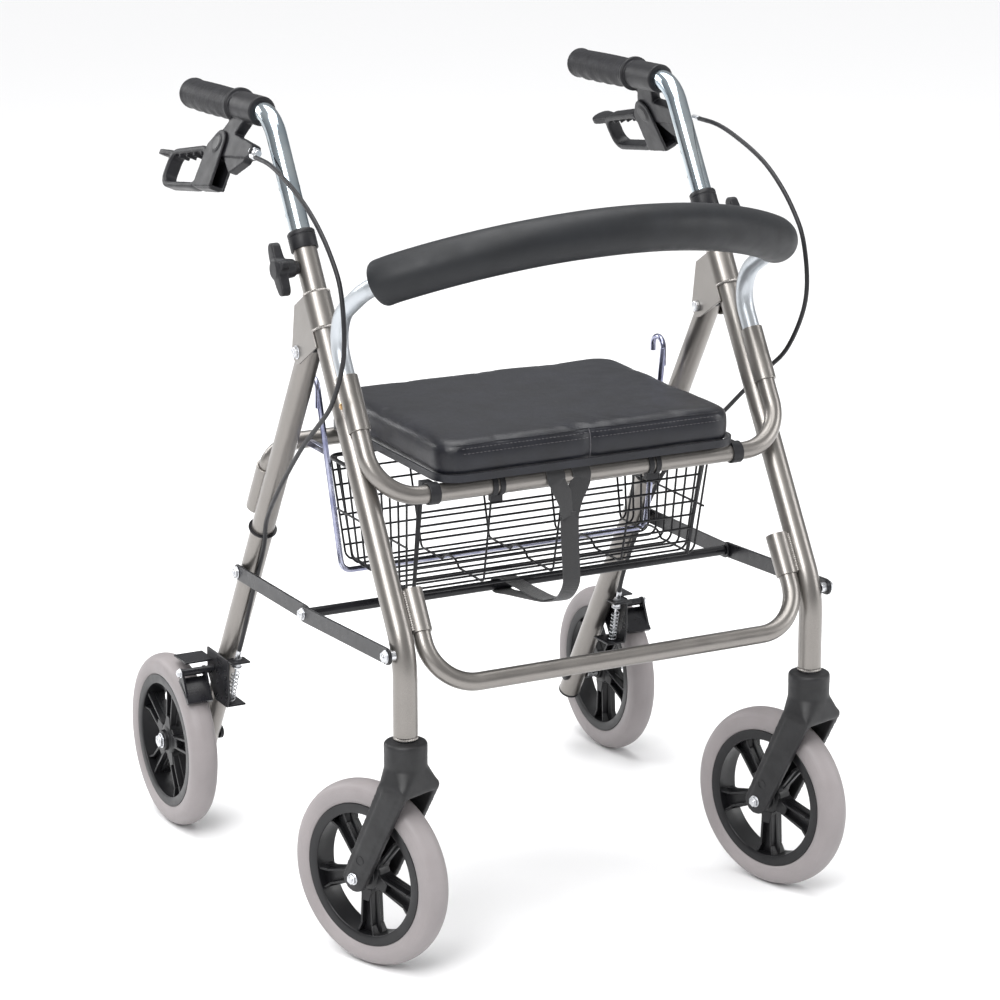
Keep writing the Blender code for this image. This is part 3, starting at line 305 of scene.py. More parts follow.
def make_looks():
    looks = {}
    grey = (0.250, 0.235, 0.220)
    paint = Finish("frame_paint", grey, 0.36, 0.88, Coat_Weight=0.25, Coat_Roughness=0.22)
    flake = paint.noise(2600, 2)
    paint.colour(flake, [(0.30, shade(grey, 0.82)), (0.55, grey), (0.75, shade(grey, 1.25))])
    paint.rough(paint.noise(38), 0.30, 0.40)
    paint.bump(flake, 0.05, 0.0002)
    looks["frame_paint"] = paint
    bead = Finish("weld_bead", (0.40, 0.38, 0.36), 0.42, 0.9)
    bead.colour(bead.noise(700), [(0.3, (0.27, 0.255, 0.24)), (0.7, (0.46, 0.44, 0.42))])
    bead.bump(bead.noise(900), 0.3, 0.0004)
    looks["weld"] = bead
    plated = Finish("handle_plating", (0.53, 0.60, 0.65), 0.14, 1.0)
    plated.colour(plated.noise(22, 3), [(0.35, (0.46, 0.54, 0.60)), (0.65, (0.62, 0.68, 0.71))])
    plated.rough(plated.noise(60), 0.09, 0.19)
    plated.bump(plated.noise(300, 3, stretch=(1, 0.2, 0.2)), 0.03, 0.0002)
    looks["chrome"] = plated
    bail = Finish("bail_plating", (0.30, 0.31, 0.42), 0.2, 1.0)
    bail.colour(bail.noise(45), [(0.35, (0.20, 0.21, 0.32)), (0.65, (0.44, 0.45, 0.56))])
    bail.rough(bail.noise(90), 0.14, 0.28)
    looks["bail"] = bail
    zinc = Finish("zinc_bolt", (0.62, 0.63, 0.65), 0.3, 1.0)
    zinc.colour(zinc.noise(260), [(0.3, (0.48, 0.49, 0.51)), (0.7, (0.74, 0.75, 0.77))])
    zinc.rough(zinc.noise(420), 0.22, 0.42)
    zinc.bump(zinc.noise(1200), 0.06, 0.0002)
    looks["zinc"] = zinc
    brass = Finish("brass_screw", (0.66, 0.42, 0.20), 0.32, 1.0)
    brass.colour(brass.noise(300), [(0.3, (0.52, 0.31, 0.14)), (0.7, (0.76, 0.52, 0.27))])
    looks["brass"] = brass
    for name, colour, low, high, grain in (
        ("black_plastic", (0.009, 0.009, 0.011), 0.40, 0.52, 1500),
        ("fork_plastic", (0.014, 0.014, 0.015), 0.44, 0.56, 1100),
        ("rim_plastic", (0.007, 0.007, 0.008), 0.30, 0.42, 1500),
        ("black_steel", (0.008, 0.008, 0.010), 0.24, 0.36, 900),
        ("basket_wire", (0.007, 0.007, 0.009), 0.30, 0.42, 700),
    ):
        made = Finish(name, colour, (low + high) / 2, Specular_IOR_Level=0.36)
        made.colour(made.noise(55), [(0.3, shade(colour, 0.75)), (0.7, shade(colour, 1.35))])
        made.rough(made.noise(80), low, high)
        made.bump(made.noise(grain, 3), 0.12, 0.0003)
        looks[name] = made
    rubber = (0.009, 0.009, 0.011)
    grip = Finish("grip_rubber", rubber, 0.55, Specular_IOR_Level=0.28)
    grip.colour(grip.noise(90), [(0.3, shade(rubber, 0.7)), (0.7, shade(rubber, 1.5))])
    grip.rough(grip.noise(120), 0.48, 0.62)
    grip.bump(grip.cells(420), 0.35, 0.0006)
    looks["grip"] = grip
    skin = (0.009, 0.010, 0.012)
    foam = Finish("moulded_foam", skin, 0.5, Specular_IOR_Level=0.32, Sheen_Weight=0.02, Sheen_Roughness=0.5)
    foam.colour(foam.noise(30, 5), [(0.3, shade(skin, 0.8)), (0.7, shade(skin, 1.3))])
    foam.rough(foam.noise(50), 0.44, 0.56)
    foam.bump(foam.noise(1400, 4), 0.16, 0.0004)
    foam.bump(foam.noise(26, 3), 0.08, 0.002)
    looks["foam"] = foam
    navy = (0.006, 0.0065, 0.010)
    vinyl = Finish("seat_vinyl", navy, 0.38, Specular_IOR_Level=0.42, Sheen_Weight=0.04, Sheen_Roughness=0.4)
    vinyl.colour(vinyl.noise(34, 5), [(0.3, shade(navy, 0.75)), (0.7, shade(navy, 1.5))])
    vinyl.rough(vinyl.noise(42, 4), 0.28, 0.42)
    vinyl.bump(vinyl.cells(1100), 0.22, 0.0005)
    vinyl.bump(vinyl.noise(28, 4), 0.10, 0.003)
    looks["vinyl"] = vinyl
    thread = Finish("seat_thread", (0.030, 0.028, 0.034), 0.5, Sheen_Weight=0.2)
    thread.bump(thread.noise(3000, 2, stretch=(1, 4, 4)), 0.4, 0.0003)
    thread.colour(thread.noise(500), [(0.3, (0.02, 0.019, 0.024)), (0.7, (0.075, 0.07, 0.08))])
    looks["thread"] = thread
    board = Finish("seat_board", (0.02, 0.02, 0.02), 0.7)
    board.colour(
        board.noise(20, 6, stretch=(0.2, 3, 3)), [(0.3, (0.012, 0.012, 0.012)), (0.7, (0.034, 0.033, 0.032))]
    )
    board.bump(board.noise(800), 0.2, 0.0003)
    looks["board"] = board
    web = Finish("webbing", (0.012, 0.012, 0.014), 0.8, Sheen_Weight=0.3, Sheen_Roughness=0.5)
    x, y, z = web.split()
    across = web.math("SINE", web.math("MULTIPLY", x, 4200))
    along = web.math("SINE", web.math("MULTIPLY", web.math("ADD", y, z), 3100))
    weave = web.math("MULTIPLY", across, along)
    web.colour(weave, [(0.0, (0.008, 0.008, 0.009)), (1.0, (0.034, 0.034, 0.037))])
    web.bump(weave, 0.5, 0.0004)
    looks["webbing"] = web
    tyre_grey = (0.265, 0.243, 0.245)
    tyre = Finish("tyre_rubber", tyre_grey, 0.5, Specular_IOR_Level=0.4)
    tyre.colour(
        tyre.noise(16, 6), [(0.30, shade(tyre_grey, 0.88)), (0.55, tyre_grey), (0.75, shade(tyre_grey, 1.1))]
    )
    tyre.rough(tyre.noise(30), 0.42, 0.58)
    x, y, z = tyre.split()
    radius = tyre.math("SQRT", tyre.math("ADD", tyre.math("MULTIPLY", y, y), tyre.math("MULTIPLY", z, z)))
    tyre.bump(tyre.math("SINE", tyre.math("MULTIPLY", radius, 2600)), 0.10, 0.0004)
    tyre.bump(tyre.math("SINE", tyre.math("MULTIPLY", x, 1500)), 0.06, 0.0004)
    tyre.bump(tyre.noise(700), 0.10, 0.0003)
    looks["tyre"] = tyre
    bar = Finish("backrest_bar_paint", (0.50, 0.53, 0.56), 0.38, 0.75)
    bar.colour(bar.noise(2200, 2), [(0.3, (0.44, 0.47, 0.50)), (0.7, (0.56, 0.59, 0.62))])
    bar.rough(bar.noise(40), 0.32, 0.44)
    looks["bar"] = bar
    return {name: look.made for name, look in looks.items()}


# ---- shapes: each function returns (points, faces) ----


def filleted(corners, radius, steps=12):
    corners = [Vector(c) for c in corners]
    path = [corners[0]]
    for before, corner, after in zip(corners, corners[1:], corners[2:]):
        back = (before - corner).normalized()
        ahead = (after - corner).normalized()
        half_angle = back.angle(ahead) / 2
        centre = corner + (back + ahead).normalized() * (radius / math.sin(half_angle))
        first = corner + back * (radius / math.tan(half_angle)) - centre
        last = corner + ahead * (radius / math.tan(half_angle)) - centre
        turn = first.angle(last)
        for step in range(steps + 1):
            share = step / steps
            blend = first * math.sin((1 - share) * turn) + last * math.sin(share * turn)
            path.append(centre + blend / math.sin(turn))
    return path + [corners[-1]]


def smooth_route(points, per_span=4):
    """Catmull-Rom through the points."""
    route = [Vector(p) for p in points]
    route = [route[0] * 2 - route[1], *route, route[-1] * 2 - route[-2]]
    made = []
    for a, b, c, d in zip(route, route[1:], route[2:], route[3:]):
        for step in range(per_span):
            t = step / per_span
            square = (2 * a - 5 * b + 4 * c - d) * t**2
            cube = (3 * b - 3 * c + d - a) * t**3
            made.append(0.5 * ((2 * b) + (c - a) * t + square + cube))
    return made + [route[-2]]


def ring_faces(first, second, count):
    return [(first + i, first + (i + 1) % count, second + (i + 1) % count, second + i) for i in range(count)]


def circle(radius, sides=32):
    angles = [2 * math.pi * (i + 0.5) / sides for i in range(sides)]
    return [(radius * math.cos(a), radius * math.sin(a)) for a in angles]


def directions(path, closed=False):
    count = len(path)
    found = []
    for i in range(count):
        before = path[i - 1] if closed or i > 0 else path[i]
        after = path[(i + 1) % count] if closed or i < count - 1 else path[i]
        found.append((after - before).normalized())
    return found


def swept(path, section, across=None, closed=False, sizes=None):
    """Sweeps a section along a path with the least twist; sizes scale each ring."""
    path = [Vector(p) for p in path]
    along = directions(path, closed)
    first = Vector(across) if across is not None else along[0].orthogonal()
    first = (first - along[0] * first.dot(along[0])).normalized()
    points = []
    count = len(section)
    for i, place in enumerate(path):
        if i:
            first = along[i - 1].rotation_difference(along[i]) @ first
            first = (first - along[i] * first.dot(along[i])).normalized()
        second = along[i].cross(first).normalized()
        size = sizes[i] if sizes else 1
        points += [place + (first * a + second * b) * size for a, b in section]
    faces = []
    for i in range(len(path) - 1):
        faces += ring_faces(i * count, (i + 1) * count, count)
    if closed:
        faces += ring_faces((len(path) - 1) * count, 0, count)
    else:
        end = (len(path) - 1) * count
        faces += [tuple(range(count)), tuple(range(end, end + count))]
    return points, faces


def tube(path, radius, across=None, sides=32, closed=False, sizes=None):
    return swept(path, circle(radius, sides), across, closed, sizes)


def sleeve(path, outer, inner, across, sides=40):
    """An open-ended tube with a wall."""
    outside, outside_faces = swept(path, circle(outer, sides), across)
    inside, inside_faces = swept(path, circle(inner, sides), across)
    shift = len(outside)
    end = (len(path) - 1) * sides
    faces = outside_faces[:-2] + [tuple(i + shift for i in face) for face in inside_faces[:-2]]
    faces += ring_faces(0, shift, sides) + ring_faces(end, shift + end, sides)
    return outside + inside, faces


def bead(path, radius, pitch=0.0024, closed=False):
    """A weld bead: a thin tube whose size ripples along its length."""
    path = [Vector(p) for p in path]
    fine = []
    step = pitch / 5
    for a, b in zip(path, path[1:] + ([path[0]] if closed else [])):
        count = max(1, round((b - a).length / step))
        fine += [a.lerp(b, i / count) for i in range(count)]
    if not closed:
        fine.append(path[-1])
    sizes = [1 + 0.22 * math.sin(2 * math.pi * i / 5) for i in range(len(fine))]
    return tube(fine, radius, sides=8, closed=closed, sizes=sizes)


def turned(profile, axis=X_AXIS, centre=(0, 0, 0), sides=48, ring=False):
    axis = Vector(axis).normalized()
    centre = Vector(centre)
    across = (Z_AXIS if abs(axis.x) > 0.5 else X_AXIS).cross(axis).normalized()
    side = axis.cross(across)
    points = []
    rows = []
    for radius, along in profile:
        base = centre + axis * along
        rows.append((len(points), 1 if radius == 0 else sides))
        if radius == 0:
            points.append(base)
            continue
        points += [base + across * a + side * b for a, b in circle(radius, sides)]
    pairs = list(zip(rows, rows[1:])) + ([(rows[-1], rows[0])] if ring else [])
    faces = []
    for (first, first_count), (second, second_count) in pairs:
        if first_count == 1:
            faces += [(first, second + i, second + (i + 1) % sides) for i in range(sides)]
        elif second_count == 1:
            faces += [(second, first + i, first + (i + 1) % sides) for i in range(sides)]
        else:
            faces += ring_faces(first, second, sides)
    if not ring:
        for start, count in (rows[0], rows[-1]):
            if count > 1:
                faces.append(tuple(range(start, start + count)))
    return points, faces


def hull(points):
    mesh = bmesh.new()
    for p in points:
        mesh.verts.new(p)
    made = bmesh.ops.convex_hull(mesh, input=mesh.verts)
    spare = {v for v in made["geom_interior"] + made["geom_unused"] if isinstance(v, bmesh.types.BMVert)}
    bmesh.ops.delete(mesh, geom=list(spare), context="VERTS")
    bmesh.ops.dissolve_limit(mesh, angle_limit=0.001, verts=mesh.verts, edges=mesh.edges)
    mesh.verts.index_update()
    shape = ([v.co.copy() for v in mesh.verts], [tuple(v.index for v in f.verts) for f in mesh.faces])
    mesh.free()
    return shape


def disc_points(y, z, radius, x_values, sides=24):
    return [(x, y + a, z + b) for x in x_values for a, b in circle(radius, sides)]


def box_points(low, high):
    return [(x, y, z) for x in (low[0], high[0]) for y in (low[1], high[1]) for z in (low[2], high[2])]


def together(*shapes):
    points = []
    faces = []
    for shape_points, shape_faces in shapes:
        shift = len(points)
        points += list(shape_points)
        faces += [tuple(i + shift for i in face) for face in shape_faces]
    return points, faces


def moved(shape, matrix):
    return [matrix @ Vector(p) for p in shape[0]], shape[1]


def hex_bolt(radius, along_low, along_high, axis, centre, dome=0.3):
    """A bolt head or nut: a hexagon with a chamfered top and a small round end."""
    height = along_high - along_low
    top = along_high - height * dome
    nut = turned([(radius, along_low), (radius, top), (radius * 0.88, along_high)], axis, centre, 6)
    core = [
        (radius * 0.55, top), (radius * 0.55, along_high + height * 0.12),
        (radius * 0.42, along_high + height * 0.3),
    ]
    washer = [(radius * 1.12, along_low - height * 0.1), (radius * 1.12, along_low + height * 0.1)]
    return together(nut, turned(core, axis, centre, 20), turned(washer, axis, centre, 28))


# ---- objects ----


LOOKS = {}


def piece(name, shape, look, body, stands_for=(), bevel=0.0, frame_at=None, steps=2, angle=38, hub=None):
    """One mesh on a body: frame_at places the points, and hub places the object itself."""
    points, faces = shape
    if frame_at is not None:
        points = [frame_at @ Vector(p) for p in points]
    mesh = bpy.data.meshes.new(name)
    mesh.from_pydata([Vector(p) for p in points], [], faces)
    work = bmesh.new()
    work.from_mesh(mesh)
    bmesh.ops.recalc_face_normals(work, faces=work.faces)
    work.to_mesh(mesh)
    work.free()
    mesh.shade_smooth()
    mesh.set_sharp_from_angle(angle=math.radians(angle))
    mesh.materials.append(LOOKS[look])
    made = bpy.data.objects.new(name, mesh)
    bpy.context.collection.objects.link(made)
    if hub is not None:
        made.matrix_world = hub
    if bevel:
        edge = made.modifiers.new("edge", "BEVEL")
        edge.width = bevel
        edge.segments = steps
        edge.limit_method = "ANGLE"
        edge.angle_limit = math.radians(32)
    bpy.context.view_layer.update()
    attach(made, body)
    if stands_for:
        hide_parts(*([stands_for] if isinstance(stands_for, str) else stands_for))
    return made


def applied(obj):
    """Bakes the object's modifiers into its mesh."""
    graph = bpy.context.evaluated_depsgraph_get()
    graph.update()
    mesh = bpy.data.meshes.new_from_object(obj.evaluated_get(graph))
    look = obj.data.materials[0]
    obj.modifiers.clear()
    obj.data = mesh
    obj.data.materials.clear()
    obj.data.materials.append(look)
    obj.data.shade_smooth()
    return obj


def moulded(name, shapes, look, body, stands_for=(), voxel=0.0012, smoothing=6, frame_at=None):
    """Shapes that overlap are fused into one skin and softened, as in a moulding."""
    made = piece(name, together(*shapes), look, body, stands_for, frame_at=frame_at)
    fuse = made.modifiers.new("fuse", "REMESH")
    fuse.mode = "VOXEL"
    fuse.voxel_size = voxel
    soften = made.modifiers.new("soften", "SMOOTH")
    soften.factor = 0.5
    soften.iterations = smoothing
    return applied(made)


# ---- places on the frame ----


def on_front_leg(x, along, behind=0.0):
    return Vector((x, LEG_BEND_Y, LEG_BEND_Z)) + ALONG_LEG * along + BEHIND_LEG * behind


def on_rear_leg(x, down, behind=0.0):
    return Vector((x, PIVOT_Y, PIVOT_Z)) + DOWN_REAR_LEG * down + BEHIND_REAR_LEG * behind


def on_handle(x, y):
    corner = on_front_leg(x, HANDLE_CORNER)
    return corner + HANDLE_AHEAD * ((y - corner.y) / HANDLE_AHEAD.y)


# ---- front frame ----


def ring_round_leg(x, along, radius, start=0.0, end=360.0, steps=40):
    made = []
    for step in range(steps + 1):
        angle = math.radians(start + (end - start) * step / steps)
        made.append(on_front_leg(x + radius * math.cos(angle), along, -radius * math.sin(angle)))
    return made


def front_leg(side):
    x = side * LEG_X
    name = SIDES[side]
    bend = on_front_leg(x, 0)
    path = filleted([(x, LEG_BEND_Y, LEG_BOTTOM_Z), bend, on_front_leg(x, LEG_LENGTH)], 0.10, 20)
    leg = tube(path, LEG_RADIUS, X_AXIS, 48)
    barrels = []
    welds = []
    low, high = SEAT_SOCKET
    ends = [on_front_leg(x, low, -SOCKET_OFFSET), on_front_leg(x, high, -SOCKET_OFFSET)]
    barrels.append(sleeve(ends, SOCKET_RADIUS, CROSS_TUBE_RADIUS + 0.0003, X_AXIS))
    for across in (-1, 1):
        line = [on_front_leg(x + across * 0.0058, a, -0.0133) for a in (low + 0.002, high - 0.002)]
        welds.append(bead(line, 0.0018))
    inboard = x - side * SOCKET_OFFSET
    low, high = LOWER_SOCKET
    ends = [on_front_leg(inboard, low), on_front_leg(inboard, high)]
    barrels.append(sleeve(ends, SOCKET_RADIUS, CROSS_TUBE_RADIUS + 0.0003, X_AXIS))
    for behind in (-0.0056, 0.0056):
        line = [on_front_leg(x - side * 0.0130, a, behind) for a in (low + 0.002, high - 0.002)]
        welds.append(bead(line, 0.0018))
    around = [math.pi * i / 16 for i in range(32)]
    foot = [Vector((x + 0.0113 * math.cos(a), LEG_BEND_Y + 0.0113 * math.sin(a), 0.2585)) for a in around]
    stem = turned([(0.0100, 0.2535), (0.0100, 0.262), (0.0122, 0.2635)], Z_AXIS, (x, LEG_BEND_Y, 0), 40)
    piece(f"leg_{name}", together(leg, *barrels), "frame_paint", "front_frame", f"front_leg_{name}", 0.0004)
    for along in (BRACKET_WRAP[0] - 0.0008, BRACKET_WRAP[1] + 0.0008):
        welds.append(bead(ring_round_leg(x, along, LEG_RADIUS + 0.0012, 0, 180), 0.0014, 0.0020))
    welds.append(bead(foot, 0.0016, 0.0022, closed=True))
    piece(f"leg_welds_{name}", together(*welds), "weld", "front_frame")
    piece(f"leg_stem_{name}", stem, "zinc", "front_frame", bevel=0.0004)
    screw = on_front_leg(x, 0.2625, -0.0175)
    head = [(0.0036, 0.0088), (0.0036, 0.0112), (0.0024, 0.0122), (0, 0.0123)]
    piece(f"socket_screw_{name}", turned(head, (side, 0, 0), screw, 24), "brass", "front_frame")


def cross_tube(name, x_end, along_end, along_run, offset, point, body, bend):
    corners = [
        point(-x_end, along_end, offset), point(-x_end, along_run, offset), point(x_end, along_run, offset),
        point(x_end, along_end, offset),
    ]
    path = filleted(corners, bend, 20)
    piece(f"{name}_skin", tube(path, CROSS_TUBE_RADIUS, sides=40), "frame_paint", body, name, 0.0004)


def fold_bracket(side):
    """Two cheeks that reach back to the fold pivot, and a wrap round the front of the leg."""
    x = side * LEG_X
    inner = LEG_RADIUS + 0.0002
    outer = inner + 0.0022
    wrap_low, high = BRACKET_WRAP
    pivot = Vector((0, PIVOT_Y, PIVOT_Z)) - on_front_leg(0, 0)
    pivot_along = pivot.dot(ALONG_LEG)
    pivot_behind = pivot.dot(BEHIND_LEG)
    end_radius = 0.0125
    rows = 33
    shapes = []
    for cheek in (-1, 1):
        points = []
        for row in range(rows):
            along = BRACKET_LOW + (high - BRACKET_LOW) * row / (rows - 1)
            off = along - pivot_along
            if off < end_radius * 0.6:
                reach = pivot_behind + math.sqrt(max(end_radius**2 - off**2, 1e-6))
            else:
                reach = pivot_behind + 0.010 - (off - end_radius * 0.6) * 0.85
            section = [(inner, -0.001), (outer, -0.001), (outer, reach), (inner, reach)]
            points += [on_front_leg(x + cheek * across, along, behind) for across, behind in section]
        faces = [(0, 1, 2, 3), tuple(range(rows * 4 - 4, rows * 4))]
        for row in range(rows - 1):
            faces += ring_faces(row * 4, (row + 1) * 4, 4)
        shapes.append((points, faces))
    arc = [math.pi * step / 24 for step in range(25)]
    section = [(outer * math.cos(a), -outer * math.sin(a)) for a in arc]
    section += [(inner * math.cos(a), -inner * math.sin(a)) for a in reversed(arc)]
    points = [
        on_front_leg(x + across, along, behind) for along in (wrap_low, high) for across, behind in section
    ]
    count = len(section)
    faces = ring_faces(0, count, count) + [tuple(range(count)), tuple(range(count, 2 * count))]
    shapes.append((points, faces))
    name = f"fold_bracket_{SIDES[side]}"
    piece(f"{name}_plate", together(*shapes), "frame_paint", "front_frame", name, 0.0005)


def leg_collar(side):
    x = side * LEG_X
    low = LEG_LENGTH - 0.012
    high = LEG_LENGTH + 0.0085
    outer = LEG_RADIUS + 0.0021
    wide = LEG_RADIUS + 0.0002
    narrow = HANDLE_RADIUS + 0.0002
    profile = [(wide, low), (outer - 0.0004, low), (outer, low + 0.0006), (outer, high - 0.0070)]
    profile += [(outer - 0.0006, high - 0.0064), (outer - 0.0006, high - 0.0056), (outer, high - 0.0050)]
    profile += [
        (outer, high - 0.0016), (outer - 0.0010, high - 0.0003), (narrow + 0.0005, high),
        (narrow, high - 0.0006),
    ]
    profile += [(narrow, LEG_LENGTH + 0.0003), (wide, LEG_LENGTH + 0.0003)]
    shape = turned(profile, ALONG_LEG, on_front_leg(x, 0), 56, ring=True)
    name = f"leg_collar_{SIDES[side]}"
    piece(f"{name}_ring", shape, "black_plastic", "front_frame", name)


def backrest():
    straight = BACK_RADIUS - BACK_CORNER_RADIUS
    turn = math.asin((LEG_X - BACK_CORNER_RADIUS) / straight)
    stations = []
    for step in range(33):
        angle = turn * step / 32
        stations.append(
            (angle, BACK_RADIUS * math.sin(angle), BACK_BOW + BACK_RADIUS * (1 - math.cos(angle)))
        )
    _, x_arc, behind_arc = stations[-1]
    for step in range(1, 25):
        angle = turn + (math.pi / 2 - turn) * step / 24
        across = x_arc + BACK_CORNER_RADIUS * (math.sin(angle) - math.sin(turn))
        stations.append((angle, across, behind_arc + BACK_CORNER_RADIUS * (math.cos(turn) - math.cos(angle))))
    level = [on_front_leg(x, BACK_PLANE, behind) for _, x, behind in stations]
    corners = [
        level[-1], on_front_leg(LEG_X, BACK_PLANE, -SOCKET_OFFSET), on_front_leg(LEG_X, 0.264, -SOCKET_OFFSET)
    ]
    half = level + filleted(corners, 0.042, 16)[1:]
    path = [Vector((-p.x, p.y, p.z)) for p in half[:0:-1]] + half
    piece(
        "backrest_bar_skin", tube(path, CROSS_TUBE_RADIUS, ALONG_LEG, 40), "bar", "front_frame",
        "backrest_bar",
    )
    covered = [p for (angle, _, _), p in zip(stations, level) if angle <= FOAM_CORNER]
    foam_path = [Vector((-p.x, p.y, p.z)) for p in covered[:0:-1]] + covered
    ends = directions(foam_path)
    reach = 0.0
    lengths = [0.0]
    for a, b in zip(foam_path, foam_path[1:]):
        reach += (b - a).length
        lengths.append(reach)
    path = []
    sizes = []
    for along, size in ((0.0, 0.55), (0.0002, 0.88), (0.0008, 0.955), (0.0022, 0.988), (0.0045, 1.0)):
        path.append(foam_path[0] + ends[0] * along)
        sizes.append(size)
    for place, at in zip(foam_path, lengths):
        if 0.008 < at < reach - 0.008:
            path.append(place)
            sizes.append(1 + 0.006 * noise.noise(place * 22))
    for along, size in ((0.0045, 1.0), (0.0022, 0.988), (0.0008, 0.955), (0.0002, 0.88), (0.0, 0.55)):
        path.append(foam_path[-1] - ends[-1] * along)
        sizes.append(size)
    foam = piece(
        "backrest_foam_skin", tube(path, FOAM_RADIUS, ALONG_LEG, 72, sizes=sizes), "foam", "front_frame",
        "backrest_foam",
    )


def links(side):
    name = SIDES[side]

    def bar(x_low, start, end, body, node):
        x_pair = (side * x_low, side * (x_low + 0.003))
        points = disc_points(*start, 0.0088, x_pair) + disc_points(*end, 0.0088, x_pair)
        piece(f"{node}_bar", hull(points), "black_steel", body, node, 0.0006)

    bar(REAR_LINK_X, LINK_REAR, LINK_MID, "rear_links", f"rear_link_{name}")
    bar(FRONT_LINK_X, LINK_FRONT, LINK_MID, "front_links", f"front_link_{name}")
    axis = (side, 0, 0)
    for place, (y, z), x_low, body in (
        ("rear", LINK_REAR, REAR_LINK_X, "rear_frame"), ("front", LINK_FRONT, FRONT_LINK_X, "front_frame")
    ):
        outer = x_low + 0.0033
        spacer = turned([(0.0052, 0.2535), (0.0052, x_low - 0.0002)], axis, (0, y, z), 32)
        head = hex_bolt(0.0062, outer + 0.0004, outer + 0.0042, axis, (0, y, z))
        node = f"link_bolt_{place}_{name}"
        piece(f"{node}_head", together(spacer, head), "zinc", body, node, 0.0003)
    boss = hex_bolt(0.0060, FRONT_LINK_X + 0.0032, FRONT_LINK_X + 0.0070, axis, (0, *LINK_MID))
    piece(f"link_nut_{name}", boss, "zinc", "front_links", bevel=0.0003)


def cross_rod():
    inner = REAR_LINK_X - 0.0003
    sections = [(0.0047, -inner), (0.0055, -inner + 0.0008), (0.0055, inner - 0.0008), (0.0047, inner)]
    piece(
        "cross_rod_bar", turned(sections, X_AXIS, (0, *LINK_MID), 36), "black_steel", "rear_links",
        "cross_rod",
    )


# ---- rear frame ----


def rear_leg(side):
    x = side * LEG_X
    name = SIDES[side]
    top = on_rear_leg(x, -0.010)
    bottom = on_rear_leg(x, REAR_LEG_TO_AXLE + REAR_LEG_BELOW_AXLE)
    low, high = REAR_SOCKET
    ends = [on_rear_leg(x, low, SOCKET_OFFSET), on_rear_leg(x, high, SOCKET_OFFSET)]
    barrel = sleeve(ends, SOCKET_RADIUS, CROSS_TUBE_RADIUS + 0.0003, X_AXIS)
    leg = tube([top, bottom], LEG_RADIUS, X_AXIS, 48)
    piece(
        f"rear_leg_{name}_tube", together(leg, barrel), "frame_paint", "rear_frame", f"rear_leg_{name}",
        0.0004,
    )
    welds = []
    for across in (-0.0058, 0.0058):
        welds.append(bead([on_rear_leg(x + across, d, 0.0133) for d in (low + 0.002, high - 0.002)], 0.0018))
    piece(f"rear_leg_welds_{name}", together(*welds), "weld", "rear_frame")
    plug = [
        (LEG_RADIUS - 0.0003, -0.002), (LEG_RADIUS + 0.0004, 0.0), (LEG_RADIUS + 0.0004, 0.0018),
        (LEG_RADIUS - 0.0016, 0.0030), (0, 0.0033),
    ]
    caps = together(
        turned(plug, -DOWN_REAR_LEG, top, 40), turned(plug, DOWN_REAR_LEG, bottom, 40)
    )
    piece(f"rear_leg_caps_{name}", caps, "black_plastic", "rear_frame")
    reach = LEG_RADIUS + 0.0006
    around = [math.pi * i / 20 for i in range(40)]
    band = [on_rear_leg(x + reach * math.cos(a), 0.262, reach * math.sin(a)) for a in around]
    strip = swept(
        band, [(-0.0007, -0.0026), (0.0007, -0.0026), (0.0007, 0.0026), (-0.0007, 0.0026)], BEHIND_REAR_LEG,
        closed=True,
    )
    piece(f"cable_clip_{name}", strip, "black_plastic", "rear_frame")
    axis = (side, 0, 0)
    face = LEG_RADIUS + 0.0026
    bolt = together(
        hex_bolt(0.0066, LEG_X + face + 0.0003, LEG_X + face + 0.0042, axis, (0, PIVOT_Y, PIVOT_Z)),
        turned(
            [(0.0060, LEG_X - face - 0.0040), (0.0045, LEG_X - face - 0.0046)],
            axis,
            (0, PIVOT_Y, PIVOT_Z),
            32,
        ),
        turned([(0.0060, LEG_X - face - 0.0040), (0.0060, LEG_X - face)], axis, (0, PIVOT_Y, PIVOT_Z), 32),
    )
    piece(f"fold_pivot_{name}", bolt, "zinc", "rear_frame", f"fold_pivot_bolt_{name}", 0.0003)
    hub = (0, REAR_AXLE_Y, WHEEL_RADIUS)
    inside = LEG_X - LEG_RADIUS
    outside = LEG_X + LEG_RADIUS
    spacer = turned([(0.0095, outside), (0.0095, REAR_WHEEL_X - 0.0163)], axis, hub, 36)
    nut = hex_bolt(0.0078, REAR_WHEEL_X + 0.0165, REAR_WHEEL_X + 0.0205, axis, hub)
    piece(f"rear_axle_metal_{name}", together(spacer, nut), "zinc", "rear_frame", f"rear_axle_{name}", 0.0003)
    cap = [
        (0.0082, inside + 0.0004), (0.0082, inside - 0.0034), (0.0066, inside - 0.0045), (0, inside - 0.0047)
    ]
    piece(f"rear_axle_cap_{name}", turned(cap, axis, hub, 36), "black_plastic", "rear_frame")


